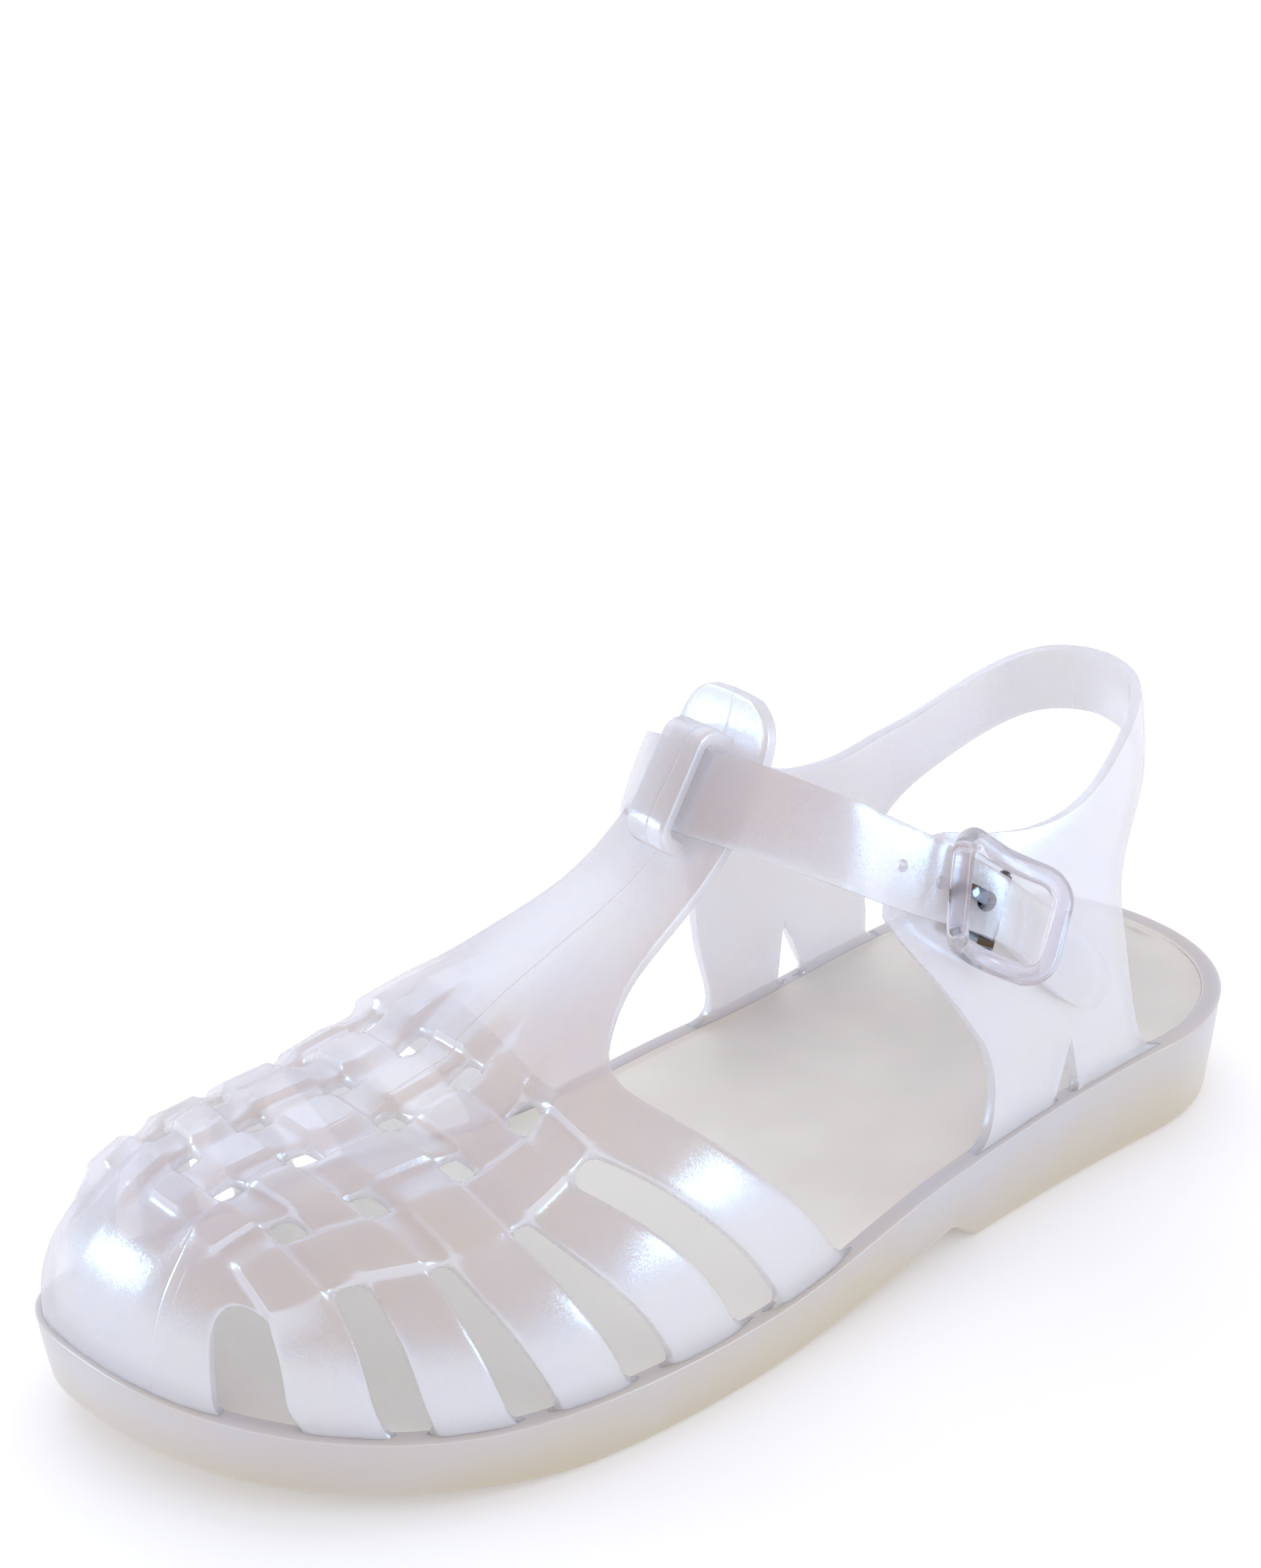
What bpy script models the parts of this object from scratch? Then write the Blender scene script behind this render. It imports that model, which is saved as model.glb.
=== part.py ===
"""Left jelly sandal: one moulded upper on a moulded sole, with a buckle on the outer side.

Toe at -Y, heel at +Y, outer (lateral) side at +X, floor at Z = 0. Sizes are in millimetres.
"""

import math

import bmesh
import bpy
import numpy as np
from mathutils import Matrix, Vector

MM = 0.001
GAP = 0.3
RIM_GAP = 0.45

# Sole outline
BALL_LATERAL = (38.2, -36.0)
BALL_MEDIAL = (-38.2, -50.0)
TOE_TIP = (-12.5, -102.0)
HEEL_SIDE = (29.2, 72.0)
HEEL_BACK = (0.0, 102.0)
TOE_POWER = {"lateral": 2.3, "medial": 3.0}
HEEL_POWER = 2.15
WAIST_EASE = 0.85
# y, x of the inner side of the waist
WAIST_MEDIAL = ((-50.0, -38.2), (-43.0, -37.7), (-20.0, -32.6), (10.0, -28.4), (32.0, -27.4), (62.0, -29.0),
                (72.0, -29.2))
# y, height of the sole's top edge
TOP_EDGE = ((-102.0, 16.3), (-60.0, 11.2), (-20.0, 11.0), (20.0, 15.0), (60.0, 16.6), (102.0, 17.2))
# y, height of the underside of the forefoot and the arch
UNDERSIDE = ((-102.0, 5.4), (-70.0, 1.7), (-50.0, 0.0), (-22.0, 0.0), (10.0, 2.0), (25.0, 4.2))
HEEL_BREAST = (24.0, 29.0)
SOLE_DRAFT = 1.5
SOLE_ROUND = 1.2
HEEL_ROUND = 5.0
HEEL_LIFT = 0.55
TOP_CHAMFER = (0.35, 0.6)
END_MARGIN = 0.05
END_SECTIONS = 11
TOE_RUN = 34.0
HEEL_RUN = 30.0
# y of the sections between the toe and heel runs, before and after the heel breast
SOLE_FRONT = (-62.0, -56.0, -50.0, -43.0, -36.0, -29.0, -22.0, -14.0, -6.0, 2.0, 10.0, 18.0)
SOLE_REAR = (34.0, 41.0, 48.0, 55.0, 62.0, 68.0)
NARROWEST = 0.3

# Upper
WALL = 2.0
WALL_RAISED = 2.9
WALL_LOW = 1.5
WALL_T = 2.2
WALL_T_EDGE = 1.8
WALL_STRAP_EDGE = 1.6
WALL_BAND_EDGE = 1.7
RIM_INSET = 0.5
RIM_HEIGHT = 1.0
RIM_SPACING = 12.0
# y, height of the crest above the sole edge, before the toe dome
CREST = ((-102.0, 30.5), (-80.0, 30.8), (-65.0, 31.8), (-50.0, 34.0), (-35.0, 41.7), (-20.0, 44.1))
DOME_START = -68.0
DOME_POWER = 2.3
SECTION_POWER = (2.35, 2.27)
CREST_SHIFT = 3.0
CREST_SHIFT_RUN = 40.0
# y, centre line and half width of the woven panel
PANEL = ((-91.0, -6.0, 18.5), (-80.0, -4.2, 22.5), (-68.0, -3.0, 26.0), (-55.0, -2.0, 26.5),
         (-44.0, -1.3, 25.0), (-35.0, -0.8, 20.5))
STRIP_PITCH = 0.43
STRIP_HALF = 0.14
STRIP_SHOULDER = 0.035
# front edge then rear edge of each cross strap, as y at the crest, the panel edge and the sole
CROSS_STRAPS = ((-90.0, -88.8, -89.1, -86.3, -81.7, -80.5),
                (-83.0, -77.2, -74.5, -76.8, -70.0, -64.6),
                (-72.0, -66.7, -57.1, -62.0, -57.4, -46.7),
                (-58.0, -53.9, -38.0, -49.5, -46.4, -26.1),
                (-45.0, -42.2, -16.5, -37.0, -35.0, -4.0))
STRAP_LINES = (0.0, 0.14, 0.86, 1.0)
STRAP_EASE = 1.7
STRAP_SWEEP = 1.15
SIDE_ROWS = 6
TOE_ROWS = 6
TOE_STEPS = 160
TOE_CLEAR = 0.4
TOE_ARCH = 3.2
TOE_ARCH_START = 0.3
TOE_ARCH_POWER = 0.7
TOE_CORNER_X = {"lateral": 11.0, "medial": -28.0}
# y, z of the outer centre line, half width, crown and sideways place of the T-strap
T_STRAP = ((-33.0, 54.0, 17.0, 3.4, -0.6), (-29.0, 55.3, 14.6, 2.0, -0.8), (-24.5, 57.0, 12.6, 1.4, -1.0),
           (-18.0, 59.0, 11.0, 1.0, -1.2), (-12.0, 61.6, 10.4, 0.9, -1.5), (-7.0, 64.6, 10.2, 0.8, -1.8),
           (-3.0, 67.8, 10.0, 0.8, -2.0), (1.3, 72.2, 9.6, 0.8, -2.2), (5.0, 77.0, 9.2, 0.8, -2.3),
           (6.7, 80.8, 8.7, 0.8, -2.3), (7.3, 83.2, 7.4, 0.6, -2.3), (7.5, 84.6, 4.8, 0.4, -2.3))

# Wings and heel sling
WALL_CENTRE = 56.0
WALL_BASE = 15.0
WALL_FRONT = 30.0
WING_TUCK = 0.9
WING_TUCK_START = 17.0
WING_TUCK_RISE = 10.0
WALL_LEAN = {"lateral": 0.105, "medial": 0.13}
TURN_IN_START = 40.0
TURN_IN_RUN = 16.0
TURN_IN = {"lateral": 0.008, "medial": 0.0045}
FRONT_TURN = {"lateral": 0.010, "medial": 0.0}
FRONT_TURN_START = 38.0
FRONT_TURN_RISE = 30.0
WALL_DEPTH = 34.0
WALL_DEPTH_LEAN = 0.08
SLING_END = 86.4
BAND_LINES = (0.0, 0.16, 0.84, 1.0)
# low edge y, z and top edge y, z of each column of a wing's band, from its front end to the heel
BAND_LATERAL = ((18.0, 53.0, 19.4, 57.0), (19.3, 50.0, 22.4, 59.6), (21.6, 46.4, 26.2, 62.2),
                (24.4, 42.3, 29.8, 62.8), (27.9, 36.5, 33.2, 61.6),
                (31.6, 30.6, 37.3, 60.4), (37.0, 32.0, 40.6, 59.6), (43.0, 33.6, 44.4, 59.0),
                (49.5, 35.6, 48.6, 58.8), (55.0, 38.0, 53.0, 59.3), (60.0, 40.4, 57.7, 61.1),
                (64.6, 43.0, 61.5, 62.9),
                (65.4, 47.2, 65.2, 64.9), (68.0, 51.2, 69.0, 66.7), (73.0, 54.9, 73.2, 68.3),
                (78.0, 57.4, 77.8, 69.3), (82.0, 58.8, 82.0, 69.8), (84.8, 59.5, 84.8, 70.0))
BAND_MEDIAL = ((11.9, 55.0, 22.9, 64.3), (14.8, 50.5, 26.8, 62.0), (17.0, 45.0, 30.9, 59.8),
               (18.5, 39.7, 34.6, 58.1),
               (19.6, 34.0, 38.4, 57.4), (26.5, 33.4, 41.6, 56.8), (32.9, 34.3, 45.0, 56.3),
               (39.5, 35.7, 48.4, 56.1), (46.5, 36.1, 52.0, 56.2), (53.1, 37.6, 55.9, 56.6),
               (59.0, 39.7, 59.8, 57.2),
               (62.1, 43.6, 63.4, 58.0), (66.1, 46.7, 67.2, 59.6), (71.3, 50.0, 71.3, 61.8),
               (76.3, 53.6, 75.6, 64.5), (80.7, 56.6, 80.2, 67.2), (84.0, 58.5, 83.8, 69.1))
BAND_BACK = (59.8, 70.1)
LEG_COLUMNS = 7
LEG_FIRST = {"lateral": 5, "medial": 4}
# y of the four lines of the front leg and of the rear leg at the sole
LEG_FEET = {"lateral": (29.5, 35.0, 40.5, 45.5, 51.7, 57.0, 62.3, 67.4),
            "medial": (26.8, 31.5, 36.0, 40.5, 48.2, 52.5, 57.0, 61.1)}
SLIT_APEX = {"lateral": (51.0, 24.6), "medial": (39.0, 30.1)}
# y, z of the front edge and of the rear edge of the legs, between the sole and the band
LEG_FRONT = {"lateral": ((31.8, 19.5), (33.1, 23.5), (32.6, 27.5)),
             "medial": ((25.0, 20.9), (22.6, 25.8), (20.9, 30.2))}
LEG_REAR = {"lateral": ((67.1, 19.5), (66.6, 26.0), (65.6, 34.5)),
            "medial": ((59.9, 22.4), (58.1, 27.8), (57.8, 33.7))}

# Ankle strap
STRAP_WALL = 2.2
STRAP_EDGE_WALL = 1.8
STRAP_LEAN = 0.4
# extra lean over the instep, its place and its spread along x
STRAP_TOP_LEAN = (0.35, -1.0, 9.0)
# x, y, z of the outer centre line and width, from the inner wing round the front
STRAP_FRONT = ((-19.0, 3.6, 67.6, 12.6), (-14.4, -0.9, 70.6, 12.6), (-7.8, -2.9, 72.6, 12.6),
               (-1.5, -3.0, 73.3, 12.6), (5.2, -2.1, 73.4, 12.6), (11.5, 0.6, 72.6, 12.6),
               (16.3, 4.3, 70.7, 12.5), (19.7, 8.8, 68.2, 12.3),
               (21.4, 12.8, 66.0, 12.1), (22.6, 18.8, 62.1, 11.8))
# y, z of the centre line, width, lift off the outer wing and inward lean
STRAP_TAIL = ((24.1, 58.7, 11.2, 1.8, 0.42),
              (29.0, 55.7, 9.6, 2.4, 0.40), (33.1, 53.0, 9.0, 3.5, 0.39), (37.1, 50.0, 9.0, 2.3, 0.37),
              (41.4, 46.3, 9.4, 0.8, 0.32), (47.0, 40.4, 10.2, 0.6, 0.20), (51.5, 36.0, 9.7, 0.5, 0.16),
              (54.6, 32.6, 8.0, 0.5, 0.15), (56.4, 30.6, 4.6, 0.5, 0.15))
STRAP_HOLES = ((18.6, 62.2), (24.6, 58.3))
STRAP_HOLE_D = 2.4
HOLE_DEPTH = 5.0
HOLE_SIDES = 10

# Keeper loop over the ankle strap
KEEPER_X = -2.2
KEEPER_WIDTH = 7.6
KEEPER_WALL = 2.4
KEEPER_PLAY = 0.8
KEEPER_CORNER = 1.0
# depth of its lower and upper feet under the ankle strap's inner face
KEEPER_FEET = (-1.6, -3.2)

# Buckle
BUCKLE_AT = (32.2, 52.0)
BUCKLE_AHEAD = (0.16, 0.79, -0.59)
BUCKLE_LEAN = 0.36
BUCKLE_HALF_LENGTH = 10.3
BUCKLE_HALF_WIDTH = 7.6
BUCKLE_BAR_R = 1.6
BUCKLE_CORNER_POWER = 5.0
BUCKLE_SIDE_RISE = 2.9
BUCKLE_FRONT_RISE = 5.2
BUCKLE_REAR_RISE = 6.4
BUCKLE_RISE_POWER = 2.5
CENTRE_BAR_AT = 2.2
CENTRE_BAR_R = 0.8
CENTRE_BAR_HALF = 5.0
PRONG_HALF_WIDTH = 1.0
PRONG_THICKNESS = 0.8
# place along the strap and height off the wing of the prong's middle line, from tip to root
PRONG = ((-8.2, 5.0), (-6.2, 5.4), (-4.6, 5.3), (-3.4, 4.3), (-2.5, 2.7), (-1.4, 1.5), (0.6, 1.3))
PRONG_HOLE_AT = -2.9
PRONG_HOLE_OUT = 4.0
PRONG_HOLE_D = 4.2


def smooth(table, x, column=1):
    """Monotone cubic through the rows of a table: one column against the first."""
    xs = np.array([row[0] for row in table], float)
    ys = np.array([row[column] for row in table], float)
    h = np.diff(xs)
    d = np.diff(ys) / h
    m = np.zeros(len(xs))
    for i in range(1, len(xs) - 1):
        if d[i - 1] * d[i] > 0:
            a = 2 * h[i] + h[i - 1]
            b = h[i] + 2 * h[i - 1]
            m[i] = (a + b) / (a / d[i - 1] + b / d[i])
    m[0] = 0.5 * (3 * d[0] - m[1])
    m[-1] = 0.5 * (3 * d[-1] - m[-2])
    x = np.clip(np.asarray(x, float), xs[0], xs[-1])
    k = np.clip(np.searchsorted(xs, x) - 1, 0, len(xs) - 2)
    u = (x - xs[k]) / h[k]
    start = (2 * u ** 3 - 3 * u ** 2 + 1) * ys[k] + (u ** 3 - 2 * u ** 2 + u) * h[k] * m[k]
    end = (3 * u ** 2 - 2 * u ** 3) * ys[k + 1] + (u ** 3 - u ** 2) * h[k] * m[k + 1]
    return start + end


def quarter(side, end, power, count=48):
    """Quarter of a superellipse from a side point to an end point."""
    t = np.linspace(0, math.pi / 2, count)
    x = end[0] + (side[0] - end[0]) * np.abs(np.cos(t)) ** (2 / power)
    y = side[1] + (end[1] - side[1]) * np.abs(np.sin(t)) ** (2 / power)
    return np.stack([x, y], 1)


def sole_outline(count=720):
    """The sole's edge from the back of the heel along the outer side, round the toe and back."""
    y = np.linspace(HEEL_SIDE[1], BALL_LATERAL[1], 60)
    s = (y - BALL_LATERAL[1]) / (HEEL_SIDE[1] - BALL_LATERAL[1])
    swell = 0.5 * (1 + np.cos(np.pi * s ** WAIST_EASE))
    lateral = np.stack([HEEL_SIDE[0] + (BALL_LATERAL[0] - HEEL_SIDE[0]) * swell, y], 1)
    y = np.linspace(BALL_MEDIAL[1], HEEL_SIDE[1], 60)
    medial = np.stack([smooth(WAIST_MEDIAL, y), y], 1)
    heel_medial = (-HEEL_SIDE[0], HEEL_SIDE[1])
    runs = [quarter(HEEL_SIDE, HEEL_BACK, HEEL_POWER)[::-1], lateral[1:],
            quarter(BALL_LATERAL, TOE_TIP, TOE_POWER["lateral"])[1:],
            quarter(BALL_MEDIAL, TOE_TIP, TOE_POWER["medial"])[::-1][1:], medial[1:],
            quarter(heel_medial, HEEL_BACK, HEEL_POWER)[1:]]
    p = np.vstack(runs)
    s = np.concatenate([[0], np.cumsum(np.linalg.norm(np.diff(p, axis=0), axis=1))])
    even = np.linspace(0, s[-1], count + 1)[:-1]
    return np.stack([np.interp(even, s, p[:, 0]), np.interp(even, s, p[:, 1])], 1)


def outward(curve):
    """Outward unit normals of a closed outline."""
    t = np.roll(curve, -3, 0) - np.roll(curve, 3, 0)
    n = np.stack([-t[:, 1], t[:, 0]], 1)
    n /= np.linalg.norm(n, axis=1)[:, None]
    return n if np.sum(n * curve) > 0 else -n


EDGE = sole_outline()
EDGE_NORMAL = outward(EDGE)
TIP = int(np.argmin(EDGE[:, 1]))
FEATHER = EDGE - EDGE_NORMAL * (RIM_INSET + WALL)


def side_x(curve, y, side):
    """x of an outline at y on the lateral (+1) or medial (-1) side."""
    half = curve[:TIP + 1][::-1] if side > 0 else curve[TIP:]
    return np.interp(y, half[:, 1], half[:, 0])


def position_at_y(y, side):
    """Index along the outline, as a real number, at y on one side."""
    if side > 0:
        return float(np.interp(y, EDGE[:TIP + 1, 1][::-1], np.arange(TIP + 1)[::-1]))
    return float(np.interp(y, EDGE[TIP:, 1], np.arange(TIP, len(EDGE))))


def outline_point(curve, position):
    """Point of an outline at a real index."""
    k = int(math.floor(position)) % len(curve)
    f = position - math.floor(position)
    return curve[k] * (1 - f) + curve[(k + 1) % len(curve)] * f


def top_z(y):
    """Height of the sole's top at y."""
    return float(smooth(TOP_EDGE, y))


def crest_height(y):
    """Height of the vamp's inner crest above the sole's top."""
    reach = DOME_START - float(np.min(FEATHER[:, 1]))
    u = np.clip((DOME_START - y) / reach, 0, 1)
    dome = (1 - u ** DOME_POWER) ** (1 / DOME_POWER)
    return float((smooth(CREST, y) - WALL) * dome)


def vamp_section(y, count=181):
    """Inner section of the vamp at y, from the outer side over the crest to the inner side."""
    left = float(side_x(FEATHER, y, -1))
    right = float(side_x(FEATHER, y, 1))
    mid = 0.5 * (left + right)
    half = 0.5 * (right - left)
    th = np.linspace(0, math.pi, count)
    shift = CREST_SHIFT * float(np.clip((y - TOE_TIP[1]) / CREST_SHIFT_RUN, 0, 1))
    c = np.cos(th)
    x = mid + half * np.sign(c) * np.abs(c) ** (2 / SECTION_POWER[0]) - shift * np.sin(th) ** 2
    z = top_z(y) + crest_height(y) * np.abs(np.sin(th)) ** (2 / SECTION_POWER[1])
    return th, x, z


def vamp_at_x(x, y):
    """Point of the vamp's inner face above x, y."""
    _, xs, zs = vamp_section(y)
    return np.array([x, y, float(np.interp(x, xs[::-1], zs[::-1]))])


def vamp_at_angle(angle, y):
    """Point of the vamp's inner face at a section angle."""
    th, xs, zs = vamp_section(y)
    return np.array([float(np.interp(angle, th, xs)), y, float(np.interp(angle, th, zs))])


def angle_of_x(x, y):
    """Section angle of the vamp's inner face above x, y."""
    th, xs, _ = vamp_section(y)
    return float(np.interp(x, xs[::-1], th[::-1]))


def angle_of_height(height, y, side):
    """Section angle at which the vamp has risen by a height."""
    rise = (height / crest_height(y)) ** (SECTION_POWER[1] / 2)
    angle = math.asin(min(1.0, rise))
    return angle if side > 0 else math.pi - angle


def heel_wall(q, z, side):
    """Point of the wings' and sling's inner face; q is y along the side and turns round the heel."""
    name = "lateral" if side > 0 else "medial"
    rise = z - WALL_BASE
    depth = WALL_DEPTH - WALL_DEPTH_LEAN * rise
    foot = abs(float(side_x(FEATHER, np.clip(q, WALL_FRONT, WALL_CENTRE), side)))
    front = float(np.clip((WALL_CENTRE - q) / TURN_IN_RUN, 0, 1))
    half = foot - WALL_LEAN[name] * rise - front * TURN_IN[name] * max(0.0, z - TURN_IN_START) ** 2
    turn = FRONT_TURN[name] * max(0.0, FRONT_TURN_START - q) ** 2
    half -= turn * float(np.clip(rise / FRONT_TURN_RISE, 0, 1))
    half -= WING_TUCK * float(np.clip((z - WING_TUCK_START) / WING_TUCK_RISE, 0, 1))
    if q <= WALL_CENTRE:
        return np.array([side * half, q, z])
    t = min(1.0, (q - WALL_CENTRE) / (SLING_END - WALL_CENTRE))
    return np.array([side * half * math.sqrt(1 - t * t), WALL_CENTRE + (depth - WALL) * t, z])


class Cage:
    """Quads of an open surface, with a wall thickness at each point."""

    def __init__(self):
        self.points = []
        self.walls = []
        self.faces = []

    def add(self, point, wall):
        """Adds a point and returns its index."""
        self.points.append(np.asarray(point, float))
        self.walls.append(wall)
        return len(self.points) - 1

    def strip(self, first, second):
        """Joins two rows of the same length with quads."""
        for k in range(len(first) - 1):
            quad = [first[k], first[k + 1], second[k + 1], second[k]]
            self.faces.append([v for i, v in enumerate(quad) if v not in quad[:i]])

    def grid(self, rows):
        """Joins rows one after another."""
        for first, second in zip(rows, rows[1:]):
            self.strip(first, second)


def strip_lines():
    """Places across the woven panel of the four lines of each lengthwise strip, -1 to 1."""
    lines = []
    for strip in range(-2, 3):
        c = strip * STRIP_PITCH
        inner = STRIP_HALF - STRIP_SHOULDER
        lines += [c - STRIP_HALF, c - inner, c + inner, c + STRIP_HALF]
    return lines


def strap_y(strap, fraction, across):
    """y of a line of a cross strap on the woven panel."""
    front_crest, front_side, _, rear_crest, rear_side, _ = CROSS_STRAPS[strap]
    ease = abs(across) ** STRAP_EASE
    front = front_crest + (front_side - front_crest) * ease
    rear = rear_crest + (rear_side - rear_crest) * ease
    return front + (rear - front) * fraction


def woven_wall(strap, line, strip, place):
    """Wall where a cross strap's line meets a lengthwise strip's line: the upper one is raised."""
    over = (strap + strip) % 2 == 0
    raised = line in (1, 2) if over else place in (1, 2)
    if strap == len(CROSS_STRAPS) - 1 and line > 1:
        return WALL_T
    return WALL_RAISED if raised else WALL_LOW


def panel_rows(cage):
    """Rows of the woven panel, four for each cross strap."""
    lines = strip_lines()
    rows = []
    for strap in range(len(CROSS_STRAPS)):
        for line, fraction in enumerate(STRAP_LINES):
            row = []
            for k, across in enumerate(lines):
                y = strap_y(strap, fraction, across)
                x = float(smooth(PANEL, y, 1)) + across * float(smooth(PANEL, y, 2))
                row.append(cage.add(vamp_at_x(x, y), woven_wall(strap, line, k // 4, k % 4)))
            rows.append(row)
    return rows


def weave(cage, rows):
    """Faces of the panel: whole under the straps, open between the strips in the slots."""
    for k in range(len(rows) - 1):
        slot = k % 4 == 3
        for c in range(len(rows[k]) - 1):
            if slot and c % 4 == 3:
                continue
            cage.strip(rows[k][c:c + 2], rows[k + 1][c:c + 2])


def rim_point(position, top):
    """Inner point of the rim at a place along the outline, at its foot or its top."""
    p = outline_point(FEATHER, position)
    z = top_z(p[1]) + RIM_GAP + (RIM_HEIGHT if top else 0.0)
    return np.array([p[0], p[1], z])


def side_strap(cage, rows, strap, side):
    """One side of a cross strap, from the panel's edge to the top of the rim."""
    _, _, front_base, _, _, rear_base = CROSS_STRAPS[strap]
    column = -1 if side > 0 else 0
    lines = [[rows[4 * strap + k][column]] for k in range(4)]
    positions = []
    for k, fraction in enumerate(STRAP_LINES):
        start = cage.points[lines[k][0]]
        y_base = front_base + (rear_base - front_base) * fraction
        start_angle = angle_of_x(start[0], start[1])
        wall = WALL if k in (1, 2) else WALL_STRAP_EDGE
        for r in range(1, SIDE_ROWS):
            s = r / SIDE_ROWS
            y = start[1] + (y_base - start[1]) * s ** STRAP_SWEEP
            foot = angle_of_height(RIM_HEIGHT + RIM_GAP, y, side)
            lines[k].append(cage.add(vamp_at_angle(start_angle + (foot - start_angle) * s, y), wall))
        position = position_at_y(y_base, side)
        lines[k].append(cage.add(rim_point(position, True), wall))
        positions.append((position, lines[k][-1]))
    for first, second in zip(lines, lines[1:]):
        cage.strip(first, second)
    return positions


def toe_cap(cage, first_row):
    """The toe cap, from the front of the woven panel down to the rim."""
    ends = {}
    for name, span in (("lateral", range(TIP // 2, TIP + 1)), ("medial", range(TIP, len(EDGE) - TIP // 2))):
        xs = np.array([EDGE[k][0] for k in span])
        near = int(np.argmin(np.abs(xs - TOE_CORNER_X[name])))
        ends[name] = float(span[near])
    lines = strip_lines()
    columns = []
    positions = []
    for k, across in enumerate(lines):
        share = (across + 1) / 2
        position = ends["medial"] + (ends["lateral"] - ends["medial"]) * share
        top = cage.points[first_row[k]]
        foot = rim_point(position, True)
        edge_share = max(0.0, abs(across) - TOE_ARCH_START) / (1 - TOE_ARCH_START)
        arch = np.array([-math.copysign(TOE_ARCH * edge_share ** 1.5, across), 0.0])
        run = []
        for v in np.linspace(0, 1, TOE_STEPS)[:-1]:
            swing = (4 * v * (1 - v)) ** TOE_ARCH_POWER
            run.append(vamp_at_x(*(top[:2] + (foot[:2] - top[:2]) * v + arch * swing)))
        run = np.array([top] + [p for p in run[1:] if p[2] > foot[2] + TOE_CLEAR] + [foot])
        s = np.concatenate([[0], np.cumsum(np.linalg.norm(np.diff(run, axis=0), axis=1))])
        column = [first_row[k]]
        for r in range(1, TOE_ROWS + 1):
            at = s[-1] * r / TOE_ROWS
            p = [float(np.interp(at, s, run[:, c])) for c in range(3)]
            edge = k in (0, len(lines) - 1)
            column.append(cage.add(p, WALL_STRAP_EDGE if edge else WALL))
        columns.append(column)
        positions.append((position, column[-1]))
    for first, second in zip(columns, columns[1:]):
        cage.strip(first, second)
    return positions


def t_strap(cage, last_row):
    """The T-strap, rising from the rear of the woven panel to its rounded tab."""
    lines = strip_lines()
    centre = np.array([row[:2] for row in T_STRAP])
    slope = np.gradient(centre, axis=0)
    rows = [last_row]
    for k, (_, _, half, crown, centre_x) in enumerate(T_STRAP):
        t = slope[k] / np.linalg.norm(slope[k])
        base = centre[k] + np.array([t[1], -t[0]]) * WALL_T
        row = []
        for c, across in enumerate(lines):
            x = centre_x + across * half
            edge = c in (0, len(lines) - 1)
            drop = crown * across * across
            row.append(cage.add((x, base[0], base[1] - drop), WALL_T_EDGE if edge else WALL_T))
        rows.append(row)
    cage.grid(rows)


def wing(cage, side, back):
    """One wing with its two legs; returns its front column and its feet on the rim."""
    name = "lateral" if side > 0 else "medial"
    table = BAND_LATERAL if side > 0 else BAND_MEDIAL
    columns = []
    for y_low, z_low, y_top, z_top in table:
        column = []
        for k, f in enumerate(BAND_LINES):
            q = y_low + (y_top - y_low) * f
            z = z_low + (z_top - z_low) * f
            column.append(cage.add(heel_wall(q, z, side), WALL if k in (1, 2) else WALL_BAND_EDGE))
        columns.append(column)
    columns.append(back)
    cage.grid(columns)
    first = LEG_FIRST[name]
    junction = [columns[first + k][0] for k in range(LEG_COLUMNS)]
    table_rows = table[first:first + LEG_COLUMNS]
    apex_y, apex_z = SLIT_APEX[name]
    feet = []
    positions = []
    for y in LEG_FEET[name]:
        position = position_at_y(y, side)
        feet.append(cage.add(rim_point(position, True), WALL))
        positions.append((position, feet[-1]))
    front = LEG_FRONT[name]
    rear = LEG_REAR[name]

    def leg_row(level, split):
        """One row across the legs, with the slit's two edges apart where it is split."""
        (y0, z0), (y1, z1) = front[level], rear[level]
        count = LEG_COLUMNS + 1 if split else LEG_COLUMNS
        row = []
        for k in range(count):
            slot = k if k < 4 or not split else k - 1
            share = (table_rows[slot][0] - table_rows[0][0]) / (table_rows[-1][0] - table_rows[0][0])
            y = y0 + (y1 - y0) * share
            z = z0 + (z1 - z0) * share
            if split and k in (3, 4):
                y = 0.5 * (LEG_FEET[name][k] + apex_y)
            elif split and k in (2, 5):
                y = 0.75 * y + 0.25 * LEG_FEET[name][k]
            elif level == 1 and k == 3:
                y, z = apex_y, apex_z
            edge = k in (0, count - 1) or (split and k in (3, 4))
            row.append(cage.add(heel_wall(y, z, side), WALL_BAND_EDGE if edge else WALL))
        return row

    low = leg_row(0, True)
    mid = leg_row(1, False)
    high = leg_row(2, False)
    cage.grid([feet[:4], low[:4], mid[:4], high[:4], junction[:4]])
    cage.grid([feet[4:], low[4:], mid[3:], high[3:], junction[3:]])
    return columns[0], positions


def strap_frames():
    """Centre, outward and across directions and widths along the ankle strap's inner face."""
    centres = [np.array(row[:3]) for row in STRAP_FRONT]
    widths = [row[3] for row in STRAP_FRONT]
    for y, z, width, lift, _ in STRAP_TAIL:
        inner = heel_wall(y, z, 1)
        centres.append(np.array([inner[0] + WALL + lift + STRAP_WALL, y, z]))
        widths.append(width)
    centres = np.array(centres)
    tangents = np.gradient(centres, axis=0)
    frames = []
    for k, centre in enumerate(centres):
        t = tangents[k] / np.linalg.norm(tangents[k])
        if k < len(STRAP_FRONT):
            extra, place, spread = STRAP_TOP_LEAN
            lean = STRAP_LEAN + extra * math.exp(-((centre[0] - place) / spread) ** 2)
        else:
            lean = STRAP_TAIL[k - len(STRAP_FRONT)][4]
        radial = np.array([t[1], -t[0], 0.0])
        radial /= np.linalg.norm(radial)
        n = radial + np.array([0, 0, lean])
        n -= t * np.dot(n, t)
        n /= np.linalg.norm(n)
        w = np.cross(n, t)
        w = w if w[2] > 0 else -w
        frames.append((centre - n * STRAP_WALL, n, w, t, widths[k]))
    return frames


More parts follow.
